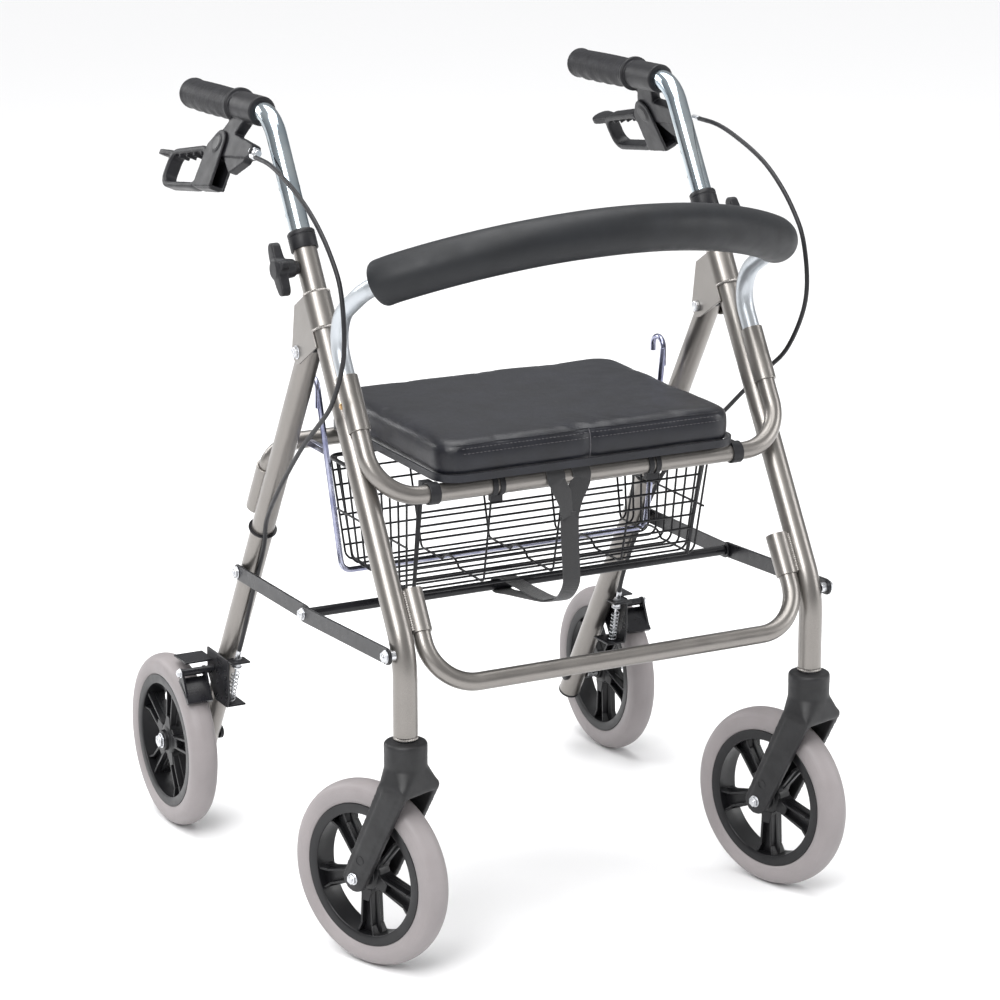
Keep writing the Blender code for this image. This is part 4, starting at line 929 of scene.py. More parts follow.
def basket_bail():
    top_x, top_y, top_z = 0.212, -0.015, 0.560
    low_x, low_y, low_z = 0.1885, -0.020, 0.3572
    corners = [(-top_x, top_y, top_z), (-low_x, low_y, low_z), (low_x, low_y, low_z), (top_x, top_y, top_z)]
    shapes = [tube(filleted(corners, 0.012, 8), 0.0032, Y_AXIS, 20)]
    run = on_rear_leg(0, REAR_RUN, SOCKET_OFFSET)
    share = (run.z - low_z) / (top_z - low_z)
    for side in SIDES:
        x = side * top_x
        top = top_z + 0.011
        hook = [
            (x, top_y, top_z - 0.02), (x, top_y, top), (x, top_y + 0.023, top),
            (x, top_y + 0.023, top_z - 0.007), (x, top_y + 0.029, top_z - 0.011),
        ]
        shapes.append(tube(filleted(hook[:4], 0.0113, 10), 0.0031, X_AXIS, 20))
        lug_x = side * (low_x + share * (top_x - low_x))
        low = (lug_x - 0.0030, low_y + share * (top_y - low_y) - 0.001, run.z - 0.004)
        high = (lug_x + 0.0030, run.y - CROSS_TUBE_RADIUS + 0.001, run.z + 0.003)
        shapes.append(hull(box_points(low, high)))
    piece("basket_bail_wire", together(*shapes), "bail", "rear_frame", "basket_bail", 0.0004)


# ---- wheels ----


def tyre_shape():
    half = TYRE_WIDTH / 2
    profile = [
        (0.0766, -half + 0.0040), (0.0775, -half + 0.0024), (0.0800, -half + 0.0008), (0.0860, -half + 0.0001)
    ]
    profile += [
        (0.0905, -half + 0.0004), (0.0932, -half + 0.0016), (0.0944, -half + 0.0022), (0.0966, -half + 0.0046)
    ]
    profile += [
        (0.0982, -half + 0.0074), (0.0993, -half + 0.0104), (0.0998, -half + 0.0132), (0.0999, -0.0012)
    ]
    profile += [(radius, -along) for radius, along in reversed(profile)]
    return turned(profile, X_AXIS, (0, 0, 0), 112, ring=True)


def rim_shape():
    shapes = []
    band = [
        (0.0660, -0.0128), (0.0685, -0.0140), (0.0770, -0.0138), (0.0770, 0.0138), (0.0685, 0.0140),
        (0.0660, 0.0128),
    ]
    band += [(0.0668, 0.0030), (0.0668, -0.0030)]
    shapes.append(turned(band, X_AXIS, (0, 0, 0), 96, ring=True))
    hub = [
        (0.0062, -0.0157), (0.0105, -0.0157), (0.0115, -0.0150), (0.0122, -0.0105), (0.0178, -0.0090),
        (0.0190, -0.0075),
    ]
    hub += [(radius, -along) for radius, along in reversed(hub)]
    shapes.append(turned(hub, X_AXIS, (0, 0, 0), 64, ring=True))
    for spoke in range(5):
        turn = Matrix.Rotation(2 * math.pi * spoke / 5, 4, "X")
        web = [
            (x, y, z) for x in (-0.0022, 0.0022) for y,
            z in ((-0.0068, 0.012), (0.0068, 0.012), (0.0125, 0.068), (-0.0125, 0.068))
        ]
        shapes.append(moved(hull(web), turn))
        for edge in (-1, 1):
            rib = []
            for y, z, depth in ((0.0052, 0.012, 0.0088), (0.0072, 0.056, 0.0088), (0.0120, 0.069, 0.0112)):
                rib += [(x, edge * (y + w), z) for x in (-depth, depth) for w in (-0.0014, 0.0014)]
            low = hull(rib[:8])
            high = hull(rib[4:])
            shapes += [moved(low, turn), moved(high, turn)]
        foot = [
            (x, y, z) for x in (-0.0095, 0.0095) for y,
            z in ((-0.0085, 0.0160), (0.0085, 0.0160), (0.0042, 0.0300), (-0.0042, 0.0300))
        ]
        shapes.append(moved(hull(foot), turn))
    return together(*shapes)


def wheel(name, body, hub, phase):
    """One tyre and one rim, turned by phase about the hub."""
    turn = Matrix.Rotation(phase, 4, "X")
    for kind, shape, look, bevel in (
        ("tyre", tyre_shape, "tyre", 0), ("rim", rim_shape, "rim_plastic", 0.0007)
    ):
        node = f"{name}_{kind}"
        piece(f"{node}_moulding", moved(shape(), turn), look, body, node, bevel, hub=hub)


def caster(side):
    name = f"caster_{SIDES[side]}"
    place = Matrix.Translation((side * LEG_X, LEG_BEND_Y, 0)) @ Matrix.Rotation(CASTER_TURN[side], 4, "Z")
    neck = [
        (0, 0.206), (0.0215, 0.2070), (0.0224, 0.2120), (0.0224, 0.2400), (0.0218, 0.2405), (0.0218, 0.2415),
        (0.0225, 0.2420), (0.0226, 0.2520), (0.0212, 0.2546), (0.0130, 0.2550), (0.0122, 0.2562), (0, 0.2562),
    ]
    half = 0.0288
    shoulder = ((-0.0165, 0.2060), (0.0085, 0.2080))
    crown = []
    for y, z in shoulder:
        crown += disc_points(y, z, 0.0065, (0.0040 - half, half - 0.0040), 16)
        crown += disc_points(y, z, 0.0035, (0.0008 - half, half - 0.0008), 16)
    crown += [
        (0.0220 * math.cos(a), 0.0220 * math.sin(a), 0.2290) for a in (math.pi * i / 16 for i in range(32))
    ]
    shapes = [turned(neck, Z_AXIS, (0, 0, 0), 64), hull(crown)]
    for arm in (-1, 1):
        outer = [arm * (half - 0.0088), arm * (half - 0.0012)]
        points = disc_points(CASTER_TRAIL, WHEEL_RADIUS, 0.0150, outer, 32)
        for y, z in shoulder:
            points += disc_points(y, z, 0.0060, outer, 16)
        shapes.append(hull(points))
        spine = disc_points(CASTER_TRAIL, WHEEL_RADIUS, 0.0085, [arm * (half - 0.004), arm * half], 24)
        spine += [
            (x, y, z) for x in (arm * (half - 0.004), arm * half) for y,
            z in ((-0.0150, 0.2060), (0.0060, 0.2080))
        ]
        shapes.append(hull(spine))
    moulded(f"{name}_fork_moulding", shapes, "fork_plastic", name, f"{name}_fork", 0.0013, 8, place)
    spin = f"caster_wheel_{SIDES[side]}"
    hub = place @ Matrix.Translation((0, CASTER_TRAIL, WHEEL_RADIUS))
    bolts = together(
        hex_bolt(0.0058, half + 0.0004, half + 0.0040, (-1, 0, 0), (0, 0, 0)),
        hex_bolt(0.0058, half + 0.0004, half + 0.0040, (1, 0, 0), (0, 0, 0)),
        turned([(0.0060, -half + 0.0090), (0.0060, half - 0.0090)], X_AXIS, (0, 0, 0), 24),
    )
    piece(f"{name}_axle_bolt", bolts, "zinc", name, f"{name}_axle", 0.0003, hub)
    recess = []
    up = Vector((0, -CASTER_TRAIL * 0.9, 0.1)).normalized()
    for arm in (-1, 1):
        centre = up * 0.0245
        ring = [
            (0.0052, half - 0.0010), (0.0052, half + 0.0004), (0.0044, half + 0.0004),
            (0.0040, half - 0.0022), (0, half - 0.0024),
        ]
        recess.append(turned(ring, (arm, 0, 0), (0, centre.y, centre.z), 28))
    piece(f"{name}_arm_recess", together(*recess), "rim_plastic", name, frame_at=hub)
    wheel(name, spin, hub, math.radians(36))


# ---- handles and brakes ----


def brake_frame(side):
    place = Matrix.Translation(on_handle(side * LEG_X, CLAMP_Y))
    return place @ Matrix.Rotation(-HANDLE_DROP, 4, "X") @ Matrix.Rotation(-side * BRAKE_ROLL, 4, "Y")


def grip_shape():
    """The grip in the handle's frame: Y runs back along the handle, finger ridges under it, a flared end."""
    front, tip = GRIP_Y
    length = tip - front
    points = []
    rows = 90
    sides = 56
    for row in range(rows + 1):
        share = row / rows
        y = front + length * share
        body = 0.0165 + 0.0007 * math.sin(math.pi * share)
        body += 0.0015 * math.exp(-(((share - 0.955) / 0.05) ** 2))
        if share < 0.045:
            body = 0.0170
        if share > 0.93:
            body *= math.sqrt(max(0.0, 1 - ((share - 0.93) / 0.0705) ** 2))
        ripple = 0.5 - 0.5 * math.cos(2 * math.pi * (share - 0.10) / 0.185) if 0.10 < share < 0.84 else 0.0
        rib = 0.5 + 0.5 * math.cos(2 * math.pi * share * 34) if 0.14 < share < 0.80 else 0.0
        for i in range(sides):
            angle = 2 * math.pi * i / sides
            under = max(0.0, -math.sin(angle)) ** 1.5
            over = max(0.0, math.sin(angle)) ** 2
            radius = body - 0.0004 + 0.0016 * under * ripple - 0.0005 * over * rib
            points.append((radius * math.cos(angle), y - CLAMP_Y, radius * math.sin(angle) * 0.98))
    faces = []
    for row in range(rows):
        faces += ring_faces(row * sides, (row + 1) * sides, sides)
    faces += [tuple(range(sides)), tuple(range(rows * sides, (rows + 1) * sides))]
    return points, faces


def handle(side):
    x = side * LEG_X
    name = SIDES[side]
    body = f"handle_{name}"
    corners = [
        on_front_leg(x, HANDLE_START), on_front_leg(x, HANDLE_CORNER), on_handle(x, HANDLE_END_Y - 0.004)
    ]
    path = filleted(corners, 0.045, 24)
    piece(
        f"handle_tube_{name}_plated", tube(path, HANDLE_RADIUS, X_AXIS, 56), "chrome", body,
        f"handle_tube_{name}",
    )
    # The adjustment holes are near-black discs set just under the tube's surface: painted shade for the dark
    # inside of each hole.
    holes = []
    for step in range(6):
        place = on_front_leg(x, 0.3608 + 0.0298 * step)
        for face in (-1, 1):
            rim = [
                (0.0036, HANDLE_RADIUS - 0.0012), (0.0034, HANDLE_RADIUS - 0.00025),
                (0.0028, HANDLE_RADIUS - 0.0004), (0, HANDLE_RADIUS - 0.0005),
            ]
            holes.append(turned(rim, (face, 0, 0), place, 24))
    piece(f"handle_holes_{name}", together(*holes), "rim_plastic", body)
    level = Matrix.Translation(on_handle(x, CLAMP_Y)) @ Matrix.Rotation(-HANDLE_DROP, 4, "X")
    piece(f"handle_grip_{name}_rubber", grip_shape(), "grip", body, f"handle_grip_{name}", 0, level, angle=70)
    brake = brake_frame(side)
    half = 0.0062
    clamp = [
        (0.0155, -0.0300), (0.0160, -0.0290), (0.0160, 0.0240), (0.0150, 0.0250), (0.0150, 0.0262),
        (0.0190, 0.0270), (0.0196, 0.0285), (0.0192, 0.0315), (0.0168, 0.0322),
    ]
    bridge = disc_points(*LEVER_PIVOT, 0.0150, (-half, half))
    bridge += box_points((-half, -0.006, -0.0160), (half, 0.024, -0.0130))
    nose = disc_points(-0.042, -0.044, 0.0083, (-half, half))
    nose += box_points((-half, 0.018, -0.058), (half, 0.024, -0.030))
    jaw = disc_points(
        -0.036, -0.054, 0.0050, (-half * 0.8, half * 0.8)
    ) + disc_points(-0.014, -0.066, 0.0065, (-half * 0.8, half * 0.8))
    jaw += disc_points(0.006, -0.056, 0.0060, (-half * 0.8, half * 0.8))
    shapes = [turned(clamp, Y_AXIS, (0, 0, 0), 56), hull(bridge), hull(nose), hull(jaw)]
    moulded(
        f"brake_housing_{name}_moulding", shapes, "black_plastic", body, f"brake_housing_{name}", 0.0010, 5,
        brake,
    )
    adjuster = together(
        hex_bolt(0.0060, 0.0465, 0.0500, (0, -1, 0), (0, 0, -0.044), 0.2),
        turned([(0.0046, 0.044), (0.0046, 0.0560), (0.0036, 0.0585)], (0, -1, 0), (0, 0, -0.044), 28),
        turned([(0.0052, 0.0530), (0.0052, 0.0545)], (0, -1, 0), (0, 0, -0.044), 28),
    )
    piece(f"brake_adjuster_{name}", adjuster, "zinc", body, bevel=0.0003, frame_at=brake)


def lever(side):
    name = SIDES[side]
    brake = brake_frame(side)
    pivot_y, pivot_z = LEVER_PIVOT
    corners = [(0, 0.052, -0.053), (0, 0.139, -0.069), (0, 0.139, -0.106), (0, 0.052, -0.096)]
    loop = filleted([*corners, *corners[:2]], 0.013, 8)[1:-1]
    section = [(-0.0082, -0.0020), (-0.0066, -0.0034), (0.0066, -0.0034), (0.0082, -0.0020)]
    section += [(0.0082, 0.0020), (0.0066, 0.0034), (-0.0066, 0.0034), (-0.0082, 0.0020)]
    shapes = [swept(loop, section, X_AXIS, closed=True)]
    for cheek in (-1, 1):
        x_pair = (cheek * 0.0066, cheek * 0.0098)
        points = disc_points(pivot_y, pivot_z, 0.0152, x_pair, 36)
        points += [(x, y, z) for x in x_pair for y, z in ((0.0530, -0.0500), (0.0530, -0.0980))]
        points += [(x, 0.0100, -0.0930) for x in x_pair]
        shapes.append(hull(points))
        boss = [(0.0098, 0.0094), (0.0098, 0.0106), (0.0090, 0.0110)]
        shapes.append(turned(boss, (cheek, 0, 0), (0, pivot_y, pivot_z), 40))
    paddle = disc_points(0.139, -0.0705, 0.0036, (-0.0070, 0.0070), 20)
    for step in range(24):
        angle = 2 * math.pi * step / 24
        for z in (-0.0758, -0.0700):
            paddle.append((0.0115 * math.cos(angle), 0.160 + 0.0125 * math.sin(angle), z))
    shapes.append(hull(paddle))
    heel = [
        (x, y, z) for x in (-0.0066, 0.0066) for y,
        z in ((0.012, -0.0900), (0.050, -0.0925), (0.050, -0.0990), (0.014, -0.0950))
    ]
    shapes.append(hull(heel))
    for bump in range(4):
        y = 0.068 + bump * 0.017
        z = -0.0562 - (y - 0.052) * 0.184 - 0.0028
        shapes.append(turned([(0.0018, -0.0066), (0.0018, 0.0066)], X_AXIS, (0, y, z), 16))
    moulded(
        f"brake_lever_{name}_moulding", shapes, "black_plastic", f"lever_{name}", f"brake_lever_{name}",
        0.0010, 5, brake,
    )
    dot = turned([(0.0078, 0.0106), (0.0074, 0.0113), (0, 0.0114)], (side, 0, 0), (0, pivot_y, pivot_z), 40)
    other = turned(
        [(0.0078, 0.0106), (0.0074, 0.0113), (0, 0.0114)], (-side, 0, 0), (0, pivot_y, pivot_z), 40
    )
    piece(f"lever_boss_{name}", together(dot, other), "rim_plastic", f"lever_{name}", frame_at=brake)


def knob(side):
    name = SIDES[side]
    inner = LEG_X + LEG_RADIUS
    neck = inner + 0.0145
    place = on_front_leg(0, KNOB_ALONG_LEG)
    centre = (0, place.y, place.z)
    profile = [
        (0.0072, inner), (0.0074, inner + 0.004), (0.0095, inner + 0.0046), (0.0108, neck),
        (0.0120, neck + 0.0110), (0.0095, neck + 0.0138),
    ]
    shapes = [turned([(r, side * a) for r, a in profile], X_AXIS, centre, 40)]
    for end in (-1, 1):
        tip = place + ALONG_LEG * (end * 0.0225)
        points = disc_points(tip.y, tip.z, 0.0068, (side * (neck + 0.0015), side * (neck + 0.0115)), 28)
        points += disc_points(place.y, place.z, 0.0085, (side * (neck + 0.0005), side * (neck + 0.0125)), 28)
        shapes.append(hull(points))
        wing = place + BEHIND_LEG * (end * 0.0125)
        points = disc_points(wing.y, wing.z, 0.0045, (side * (neck + 0.0020), side * (neck + 0.0100)), 20)
        points += disc_points(place.y, place.z, 0.0075, (side * (neck + 0.0010), side * (neck + 0.0115)), 20)
        shapes.append(hull(points))
    moulded(
        f"height_knob_{name}_moulding", shapes, "black_plastic", f"knob_{name}", f"height_knob_{name}",
        0.0010, 7,
    )


def rear_brake(side):
    name = SIDES[side]
    face = LEG_X + LEG_RADIUS + 0.0003

    def sided(low, high):
        xs = sorted((side * low[0], side * high[0]))
        return hull(box_points((xs[0], *low[1:]), (xs[1], *high[1:])))

    outline = (
        (0.140, 0.2185), (0.200, 0.2185), (0.200, 0.190), (0.180, 0.1612), (0.145, 0.1612), (0.140, 0.175)
    )
    shapes = [
        hull([(side * x, y, z) for x in (face, face + 0.0026) for y, z in outline]),
        sided((face, 0.1850, 0.2055), (REAR_WHEEL_X + 0.0058, 0.2200, 0.2078)),
        sided((0.2340, 0.1290, 0.2155), (face + 0.0020, 0.1495, 0.2178)),
        sided((0.2340, 0.1450, 0.1612), (face + 0.0020, 0.1800, 0.1636)),
    ]
    piece(
        f"brake_bracket_{name}_stamping", together(*shapes), "black_steel", "rear_frame",
        f"brake_bracket_{name}", 0.0008,
    )
    coil = []
    turns = 8
    low = Vector((side * 0.2474, 0.1580, 0.1640))
    high = Vector((side * 0.2450, 0.1470, 0.2010))
    axis = (high - low).normalized()
    across = axis.orthogonal().normalized()
    other = axis.cross(across)
    for step in range(turns * 16 + 1):
        angle = 2 * math.pi * step / 16
        centre = low.lerp(high, step / (turns * 16))
        coil.append(centre + (across * math.cos(angle) + other * math.sin(angle)) * 0.0043)
    rod = tube([low - axis * 0.004, high + axis * 0.012], 0.0013, sides=12)
    spring = tube(coil, 0.0007, sides=8)
    nut = hex_bolt(0.0050, 0.0, 0.0050, axis, high + axis * 0.0085, 0.2)
    lock = hex_bolt(0.0044, 0.0, 0.0035, axis, high + axis * 0.0165, 0.2)
    piece(f"brake_spring_{name}", together(spring, rod, nut, lock), "zinc", "rear_frame")
    y, z = SHOE_PIVOT
    inner = side * 0.2592
    outer = side * (REAR_WHEEL_X + 0.0150)
    def on_pad(x, angle, radius):
        return (x, REAR_AXLE_Y - radius * math.sin(angle), WHEEL_RADIUS + radius * math.cos(angle))

    shapes = [hull(disc_points(y, z, 0.0043, (inner, outer), 20))]
    back = WHEEL_RADIUS + 0.0078
    for low_x, high_x in ((side * 0.2690, side * 0.2715), (outer - side * 0.0025, outer)):
        arm = disc_points(y, z, 0.0052, (low_x, high_x), 20)
        for turn in (-0.09, 0.09):
            arm += [
                on_pad(x, math.radians(41) + turn, r) for x in (low_x, high_x) for r in (back - 0.002, back)
            ]
        shapes.append(hull(arm))
    turns = [math.radians(41) - 0.155 + 0.031 * step for step in range(11)]
    for start, end in zip(turns, turns[1:]):
        corners = [
            (x, a, r) for x in (side * 0.2690, outer) for a in (start, end) for r in (back - 0.0049, back)
        ]
        shapes.append(hull([on_pad(*corner) for corner in corners]))
    block = together(*shapes)
    piece(f"brake_shoe_{name}_block", block, "black_steel", f"shoe_{name}", f"brake_shoe_{name}")
    bolt = hex_bolt(0.0048, abs(outer) + 0.0003, abs(outer) + 0.0036, (side, 0, 0), (0, y, z))
    piece(f"brake_shoe_bolt_{name}", bolt, "zinc", f"shoe_{name}", bevel=0.0003)


CABLE_ROUTE = [
    (0.2680, 0.0200, 0.8105), (0.2695, -0.0300, 0.8090), (0.2710, -0.0780, 0.7980), (0.2720, -0.1210, 0.7830),
    (0.2720, -0.1550, 0.7640), (0.2720, -0.1840, 0.7400), (0.2720, -0.2050, 0.7120),
    (0.2725, -0.2140, 0.6670), (0.2720, -0.2060, 0.6290), (0.2710, -0.1770, 0.5850),
    (0.2690, -0.1380, 0.5540), (0.2680, -0.1000, 0.5250), (0.2650, -0.0560, 0.4880),
    (0.2590, -0.0050, 0.4450), (0.2510, 0.0390, 0.4050), (0.2450, 0.0610, 0.3700), (0.2430, 0.1010, 0.3030),
    (0.2430, 0.1270, 0.2520), (0.2450, 0.1410, 0.2200),
]


def cable(side):
    name = SIDES[side]
    route = smooth_route([(side * x, y, z) for x, y, z in CABLE_ROUTE], 6)
    jacket = tube(route, CABLE_RADIUS * 0.92, sides=20)
    piece(f"brake_cable_{name}_jacket", jacket, "black_plastic", "front_frame", f"brake_cable_{name}")
    ends = []
    for end, ahead in ((route[0], route[4]), (route[-1], route[-5])):
        axis = (ahead - end).normalized()
        ends.append(turned([(0.0029, -0.0010), (0.0030, 0.0095), (0.0026, 0.0105)], axis, end, 24))
    piece(f"cable_ferrules_{name}", together(*ends), "zinc", "front_frame")


# ---- seat ----


def pad_shape(inset, low, high, radius):
    """A closed rounded slab whose upper rim is rounded over; seat() crowns its top afterwards."""
    outline = []
    half = SEAT_HALF_WIDTH - inset
    front = SEAT_FRONT_Y + inset
    rear = SEAT_REAR_Y - inset
    for cx, cy, start in (
        (half - radius, rear - radius, 0), (radius - half, rear - radius, 90),
        (radius - half, front + radius, 180), (half - radius, front + radius, 270),
    ):
        for step in range(13):
            angle = math.radians(start + 90 * step / 12)
            outline.append((cx, cy, math.cos(angle), math.sin(angle)))
    count = len(outline)
    levels = [(low, -0.004), (low + 0.002, -0.0012), (low + 0.006, 0.0), (low + 0.5 * (high - low), 0.0006)]
    levels += [
        (high - 0.0085, 0.0), (high - 0.0050, -0.0010), (high - 0.0022, -0.0030), (high - 0.0007, -0.0060),
        (high, -0.0100),
    ]
    points = [
        (cx + ca * (radius + reach), cy + sa * (radius + reach), z) for z, reach in levels for cx, cy, ca,
        sa in outline
    ]
    faces = []
    for level in range(len(levels) - 1):
        faces += ring_faces(level * count, (level + 1) * count, count)
    last = (len(levels) - 1) * count
    return points, faces + [tuple(range(count)), tuple(range(last, last + count))]


def inflate(obj, cap):
    """Fills the pad with air by a short cloth run, and holds each point within cap of its start."""
    start = [v.co.copy() for v in obj.data.vertices]
    cloth = obj.modifiers.new("filling", "CLOTH")
    cloth.settings.use_pressure = True
    cloth.settings.uniform_pressure_force = 4
    cloth.settings.effector_weights.gravity = 0
    cloth.settings.tension_stiffness = 30
    cloth.settings.compression_stiffness = 30
    cloth.settings.bending_stiffness = 2
    cloth.point_cache.frame_start = 1
    cloth.point_cache.frame_end = 20
    scene = bpy.context.scene
    for step in range(1, 21):
        scene.frame_set(step)
    applied(obj)
    scene.frame_set(1)
    for vertex, origin in zip(obj.data.vertices, start):
        shift = vertex.co - origin
        if shift.length > cap:
            vertex.co = origin + shift * (cap / shift.length)


def seat():
    low = SEAT_BOTTOM_Z + 0.0002
    pad = piece(
        "seat_pad_cushion", pad_shape(0.0030, low, SEAT_TOP_Z - 0.0042, 0.027), "vinyl", "seat", "seat_pad"
    )
    fine = pad.modifiers.new("fine", "REMESH")
    fine.mode = "VOXEL"
    fine.voxel_size = 0.004
    applied(pad)
    inflate(pad, 0.003)
    top = SEAT_TOP_Z - 0.0006
    for vertex in pad.data.vertices:
        p = vertex.co
        across = abs(p.x) / SEAT_HALF_WIDTH
        deep = (p.y - (SEAT_FRONT_Y + SEAT_REAR_Y) / 2) / ((SEAT_REAR_Y - SEAT_FRONT_Y) / 2)
        crown = max(0.0, 1 - across**2.5) * max(0.0, 1 - abs(deep) ** 2.5)
        if p.z > 0.530:
            share = min(1.0, (p.z - 0.530) / 0.010)
            p.z += share * (0.0012 * crown + 0.0010 * noise.noise(Vector((p.x * 14, p.y * 14, 0))))
            pucker = math.exp(-(((p.x - SEAM_X) / 0.045) ** 2)) * math.exp(
                -(((p.y - SEAT_FRONT_Y) / 0.045) ** 2)
            )
            p.z -= share * 0.0016 * pucker * (0.6 + 0.4 * math.sin((p.x - SEAM_X) * 260 + p.y * 90))
        if p.y < SEAT_FRONT_Y + 0.02:
            p.y += 0.0022 * math.exp(-(((p.x - SEAM_X) / 0.0055) ** 2))
        p.z = max(p.z, low)
        p.z = min(p.z, top)
        p.x = max(-SEAT_HALF_WIDTH - 0.001, min(SEAT_HALF_WIDTH + 0.001, p.x))
    soft = pad.modifiers.new("soft", "SUBSURF")
    soft.levels = soft.render_levels = 1
    applied(pad)
    tree = BVHTree.FromObject(pad, bpy.context.evaluated_depsgraph_get())

    def front_point(x, z):
        hit, normal, _, _ = tree.ray_cast(Vector((x, SEAT_FRONT_Y - 0.05, z)), Y_AXIS)
        return (hit, normal) if hit else (None, None)

    stitches = []
    for row, z in enumerate((SEAT_TOP_Z - 0.0095, SEAT_TOP_Z - 0.0145)):
        for step in range(66):
            x = -0.1500 + step * 0.0046 + row * 0.0012
            hit, normal = front_point(x, z)
            if hit is None or abs(x - SEAM_X) < 0.003:
                continue
            start = hit + normal * 0.0001 - X_AXIS * 0.0015
            path = [start, start + X_AXIS * 0.0015 + normal * 0.0003, start + X_AXIS * 0.0030]
            stitches.append(tube(path, 0.00042, sides=8, sizes=[0.6, 1.0, 0.6]))
    line = []
    for step in range(24):
        hit, normal = front_point(SEAM_X, SEAT_TOP_Z - 0.006 - step * 0.00135)
        if hit is not None:
            line.append(hit + normal * 0.0001)
    if len(line) > 2:
        stitches.append(tube(line, 0.0006, sides=8))
    piece("seat_stitching", together(*stitches), "thread", "seat")
    welt = []
    for step in range(121):
        x = -0.1560 + step * 0.0026
        hit, normal = front_point(x, SEAT_TOP_Z - 0.0062)
        if hit is not None:
            welt.append(hit)
    piece("seat_front_welt", tube(welt, 0.0008, sides=10), "vinyl", "seat")
    half, front, rear = SEAT_HALF_WIDTH - 0.002, SEAT_FRONT_Y + 0.002, SEAT_REAR_Y - 0.002
    corners = [(x, y, SEAT_RIM_Z) for x, y in ((half, rear), (-half, rear), (-half, front), (half, front))]
    rim = filleted([*corners, *corners[:2]], 0.026, 8)[1:-1]
    edge = [(-0.0040, -0.0010), (0.0040, -0.0010), (0.0040, 0.0010), (-0.0040, 0.0010)]
    piece("seat_cover_rim", swept(rim, edge, Z_AXIS, closed=True), "vinyl", "seat")


def dress_board():
    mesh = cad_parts["seat_board"].data
    mesh.materials.clear()
    mesh.materials.append(LOOKS["board"])


def hinge_clips():
    """The two clips under the board that hold the seat on its front tube."""
    centre = on_front_leg(0, SEAT_RUN, -SOCKET_OFFSET)
    inner = CROSS_TUBE_RADIUS + 0.0003
    shapes = []
    for x in (-0.1800, 0.1800):
        band = [
            (inner, x - 0.006), (inner + 0.0020, x - 0.006), (inner + 0.0020, x + 0.006), (inner, x + 0.006)
        ]
        shapes.append(turned(band, X_AXIS, centre, 40, ring=True))
        low = (x - 0.006, centre.y + 0.0090, centre.z + 0.0020)
        high = (x + 0.006, centre.y + 0.0200, BOARD_BOTTOM_Z - 0.0002)
        shapes.append(hull(box_points(low, high)))
    piece("seat_hinge_clips", together(*shapes), "black_plastic", "seat", "seat_hinge", 0.0006)


# ---- basket ----


def basket():
    top_half, top_front, top_rear, top_z = BASKET_TOP
    low_half, low_front, low_rear, low_z = BASKET_FLOOR

    def at(height):
        share = (height - low_z) / (top_z - low_z)
        return (
            low_half + (top_half - low_half) * share, low_front + (top_front - low_front) * share,
            low_rear + (top_rear - low_rear) * share,
        )

    def ring(height, radius, wire):
        half, front, rear = at(height)
        corners = [
            (half, 0, height), (half, rear, height), (-half, rear, height), (-half, front, height),
            (half, front, height), (half, 0.002, height),
        ]
        return tube(filleted(corners, radius, 8), wire, Z_AXIS, 12)

    wires = [ring(top_z, 0.014, 0.0024)]
    rows = 9
    for row in range(rows + 1):
        share = row / rows
        floor_y = low_front + (low_rear - low_front) * share
        rim_y = top_front + 0.008 + (top_rear - top_front - 0.016) * share
        corners = [
            (-top_half, rim_y, top_z), (-low_half, floor_y, low_z), (low_half, floor_y, low_z),
            (top_half, rim_y, top_z),
        ]
        wires.append(tube(filleted(corners, 0.011, 6), 0.00125, Y_AXIS, 10))
    for column in range(5):
        x = -0.167 + 0.0835 * column
        over = low_z + 0.0024
        corners = [
            (x * 1.03, top_front, top_z), (x, low_front, over), (x, -0.093, over), (x, -0.083, over + 0.0075),
            (x, -0.062, over + 0.0075), (x, -0.052, over), (x, low_rear, over), (x * 1.03, top_rear, top_z),
        ]
        path = [Vector(corners[0])] + filleted(corners[:3], 0.008, 5)[1:-1]
        path += smooth_route(corners[2:6], 4) + filleted(corners[5:], 0.006, 5)[1:]
        wires.append(tube(path, 0.00125, X_AXIS, 10))
    for step in range(1, 7):
        height = low_z + (top_z - low_z) * step / 7
        half, front, rear = at(height)
        level = [(-half + 0.002, rear + 0.0012, height), (half - 0.002, rear + 0.0012, height)]
        wires.append(tube(level, 0.00125, Z_AXIS, 10))
        wires.append(
            tube([(-0.168, front - 0.0012, height), (0.168, front - 0.0012, height)], 0.00125, Z_AXIS, 10)
        )
    half, front, rear = at(0.418)
    for end in (-1, 1):
        level = [(end * (half + 0.0012), front, 0.418), (end * (half + 0.0012), rear, 0.418)]
        wires.append(tube(level, 0.00125, Z_AXIS, 10))
        post = [(end * 0.1690, top_front, top_z), (end * 0.1665, low_front, low_z)]
        wires.append(tube(post, 0.0022, X_AXIS, 12))
    piece("basket_wires", together(*wires), "basket_wire", "basket", "basket")


def basket_clips():
    """The two black clips on the seat tube."""
    centre = on_front_leg(0, SEAT_RUN, -SOCKET_OFFSET)
    shapes = []
    for x in (-0.1068, 0.0781):
        for shift in (-0.0042, 0.0042):
            band = [
                (CROSS_TUBE_RADIUS + 0.0002, x + shift - 0.0030),
                (CROSS_TUBE_RADIUS + 0.0018, x + shift - 0.0030),
            ]
            band += [
                (CROSS_TUBE_RADIUS + 0.0018, x + shift + 0.0030),
                (CROSS_TUBE_RADIUS + 0.0002, x + shift + 0.0030),
            ]
            shapes.append(turned(band, X_AXIS, centre, 40, ring=True))
        low = (x - 0.0066, centre.y - 0.004, centre.z - 0.0170)
        high = (x + 0.0066, centre.y + 0.004, centre.z - 0.0085)
        shapes.append(hull(box_points(low, high)))
    piece("seat_tube_clips", together(*shapes), "black_plastic", "front_frame", bevel=0.0006)


# ---- strap ----


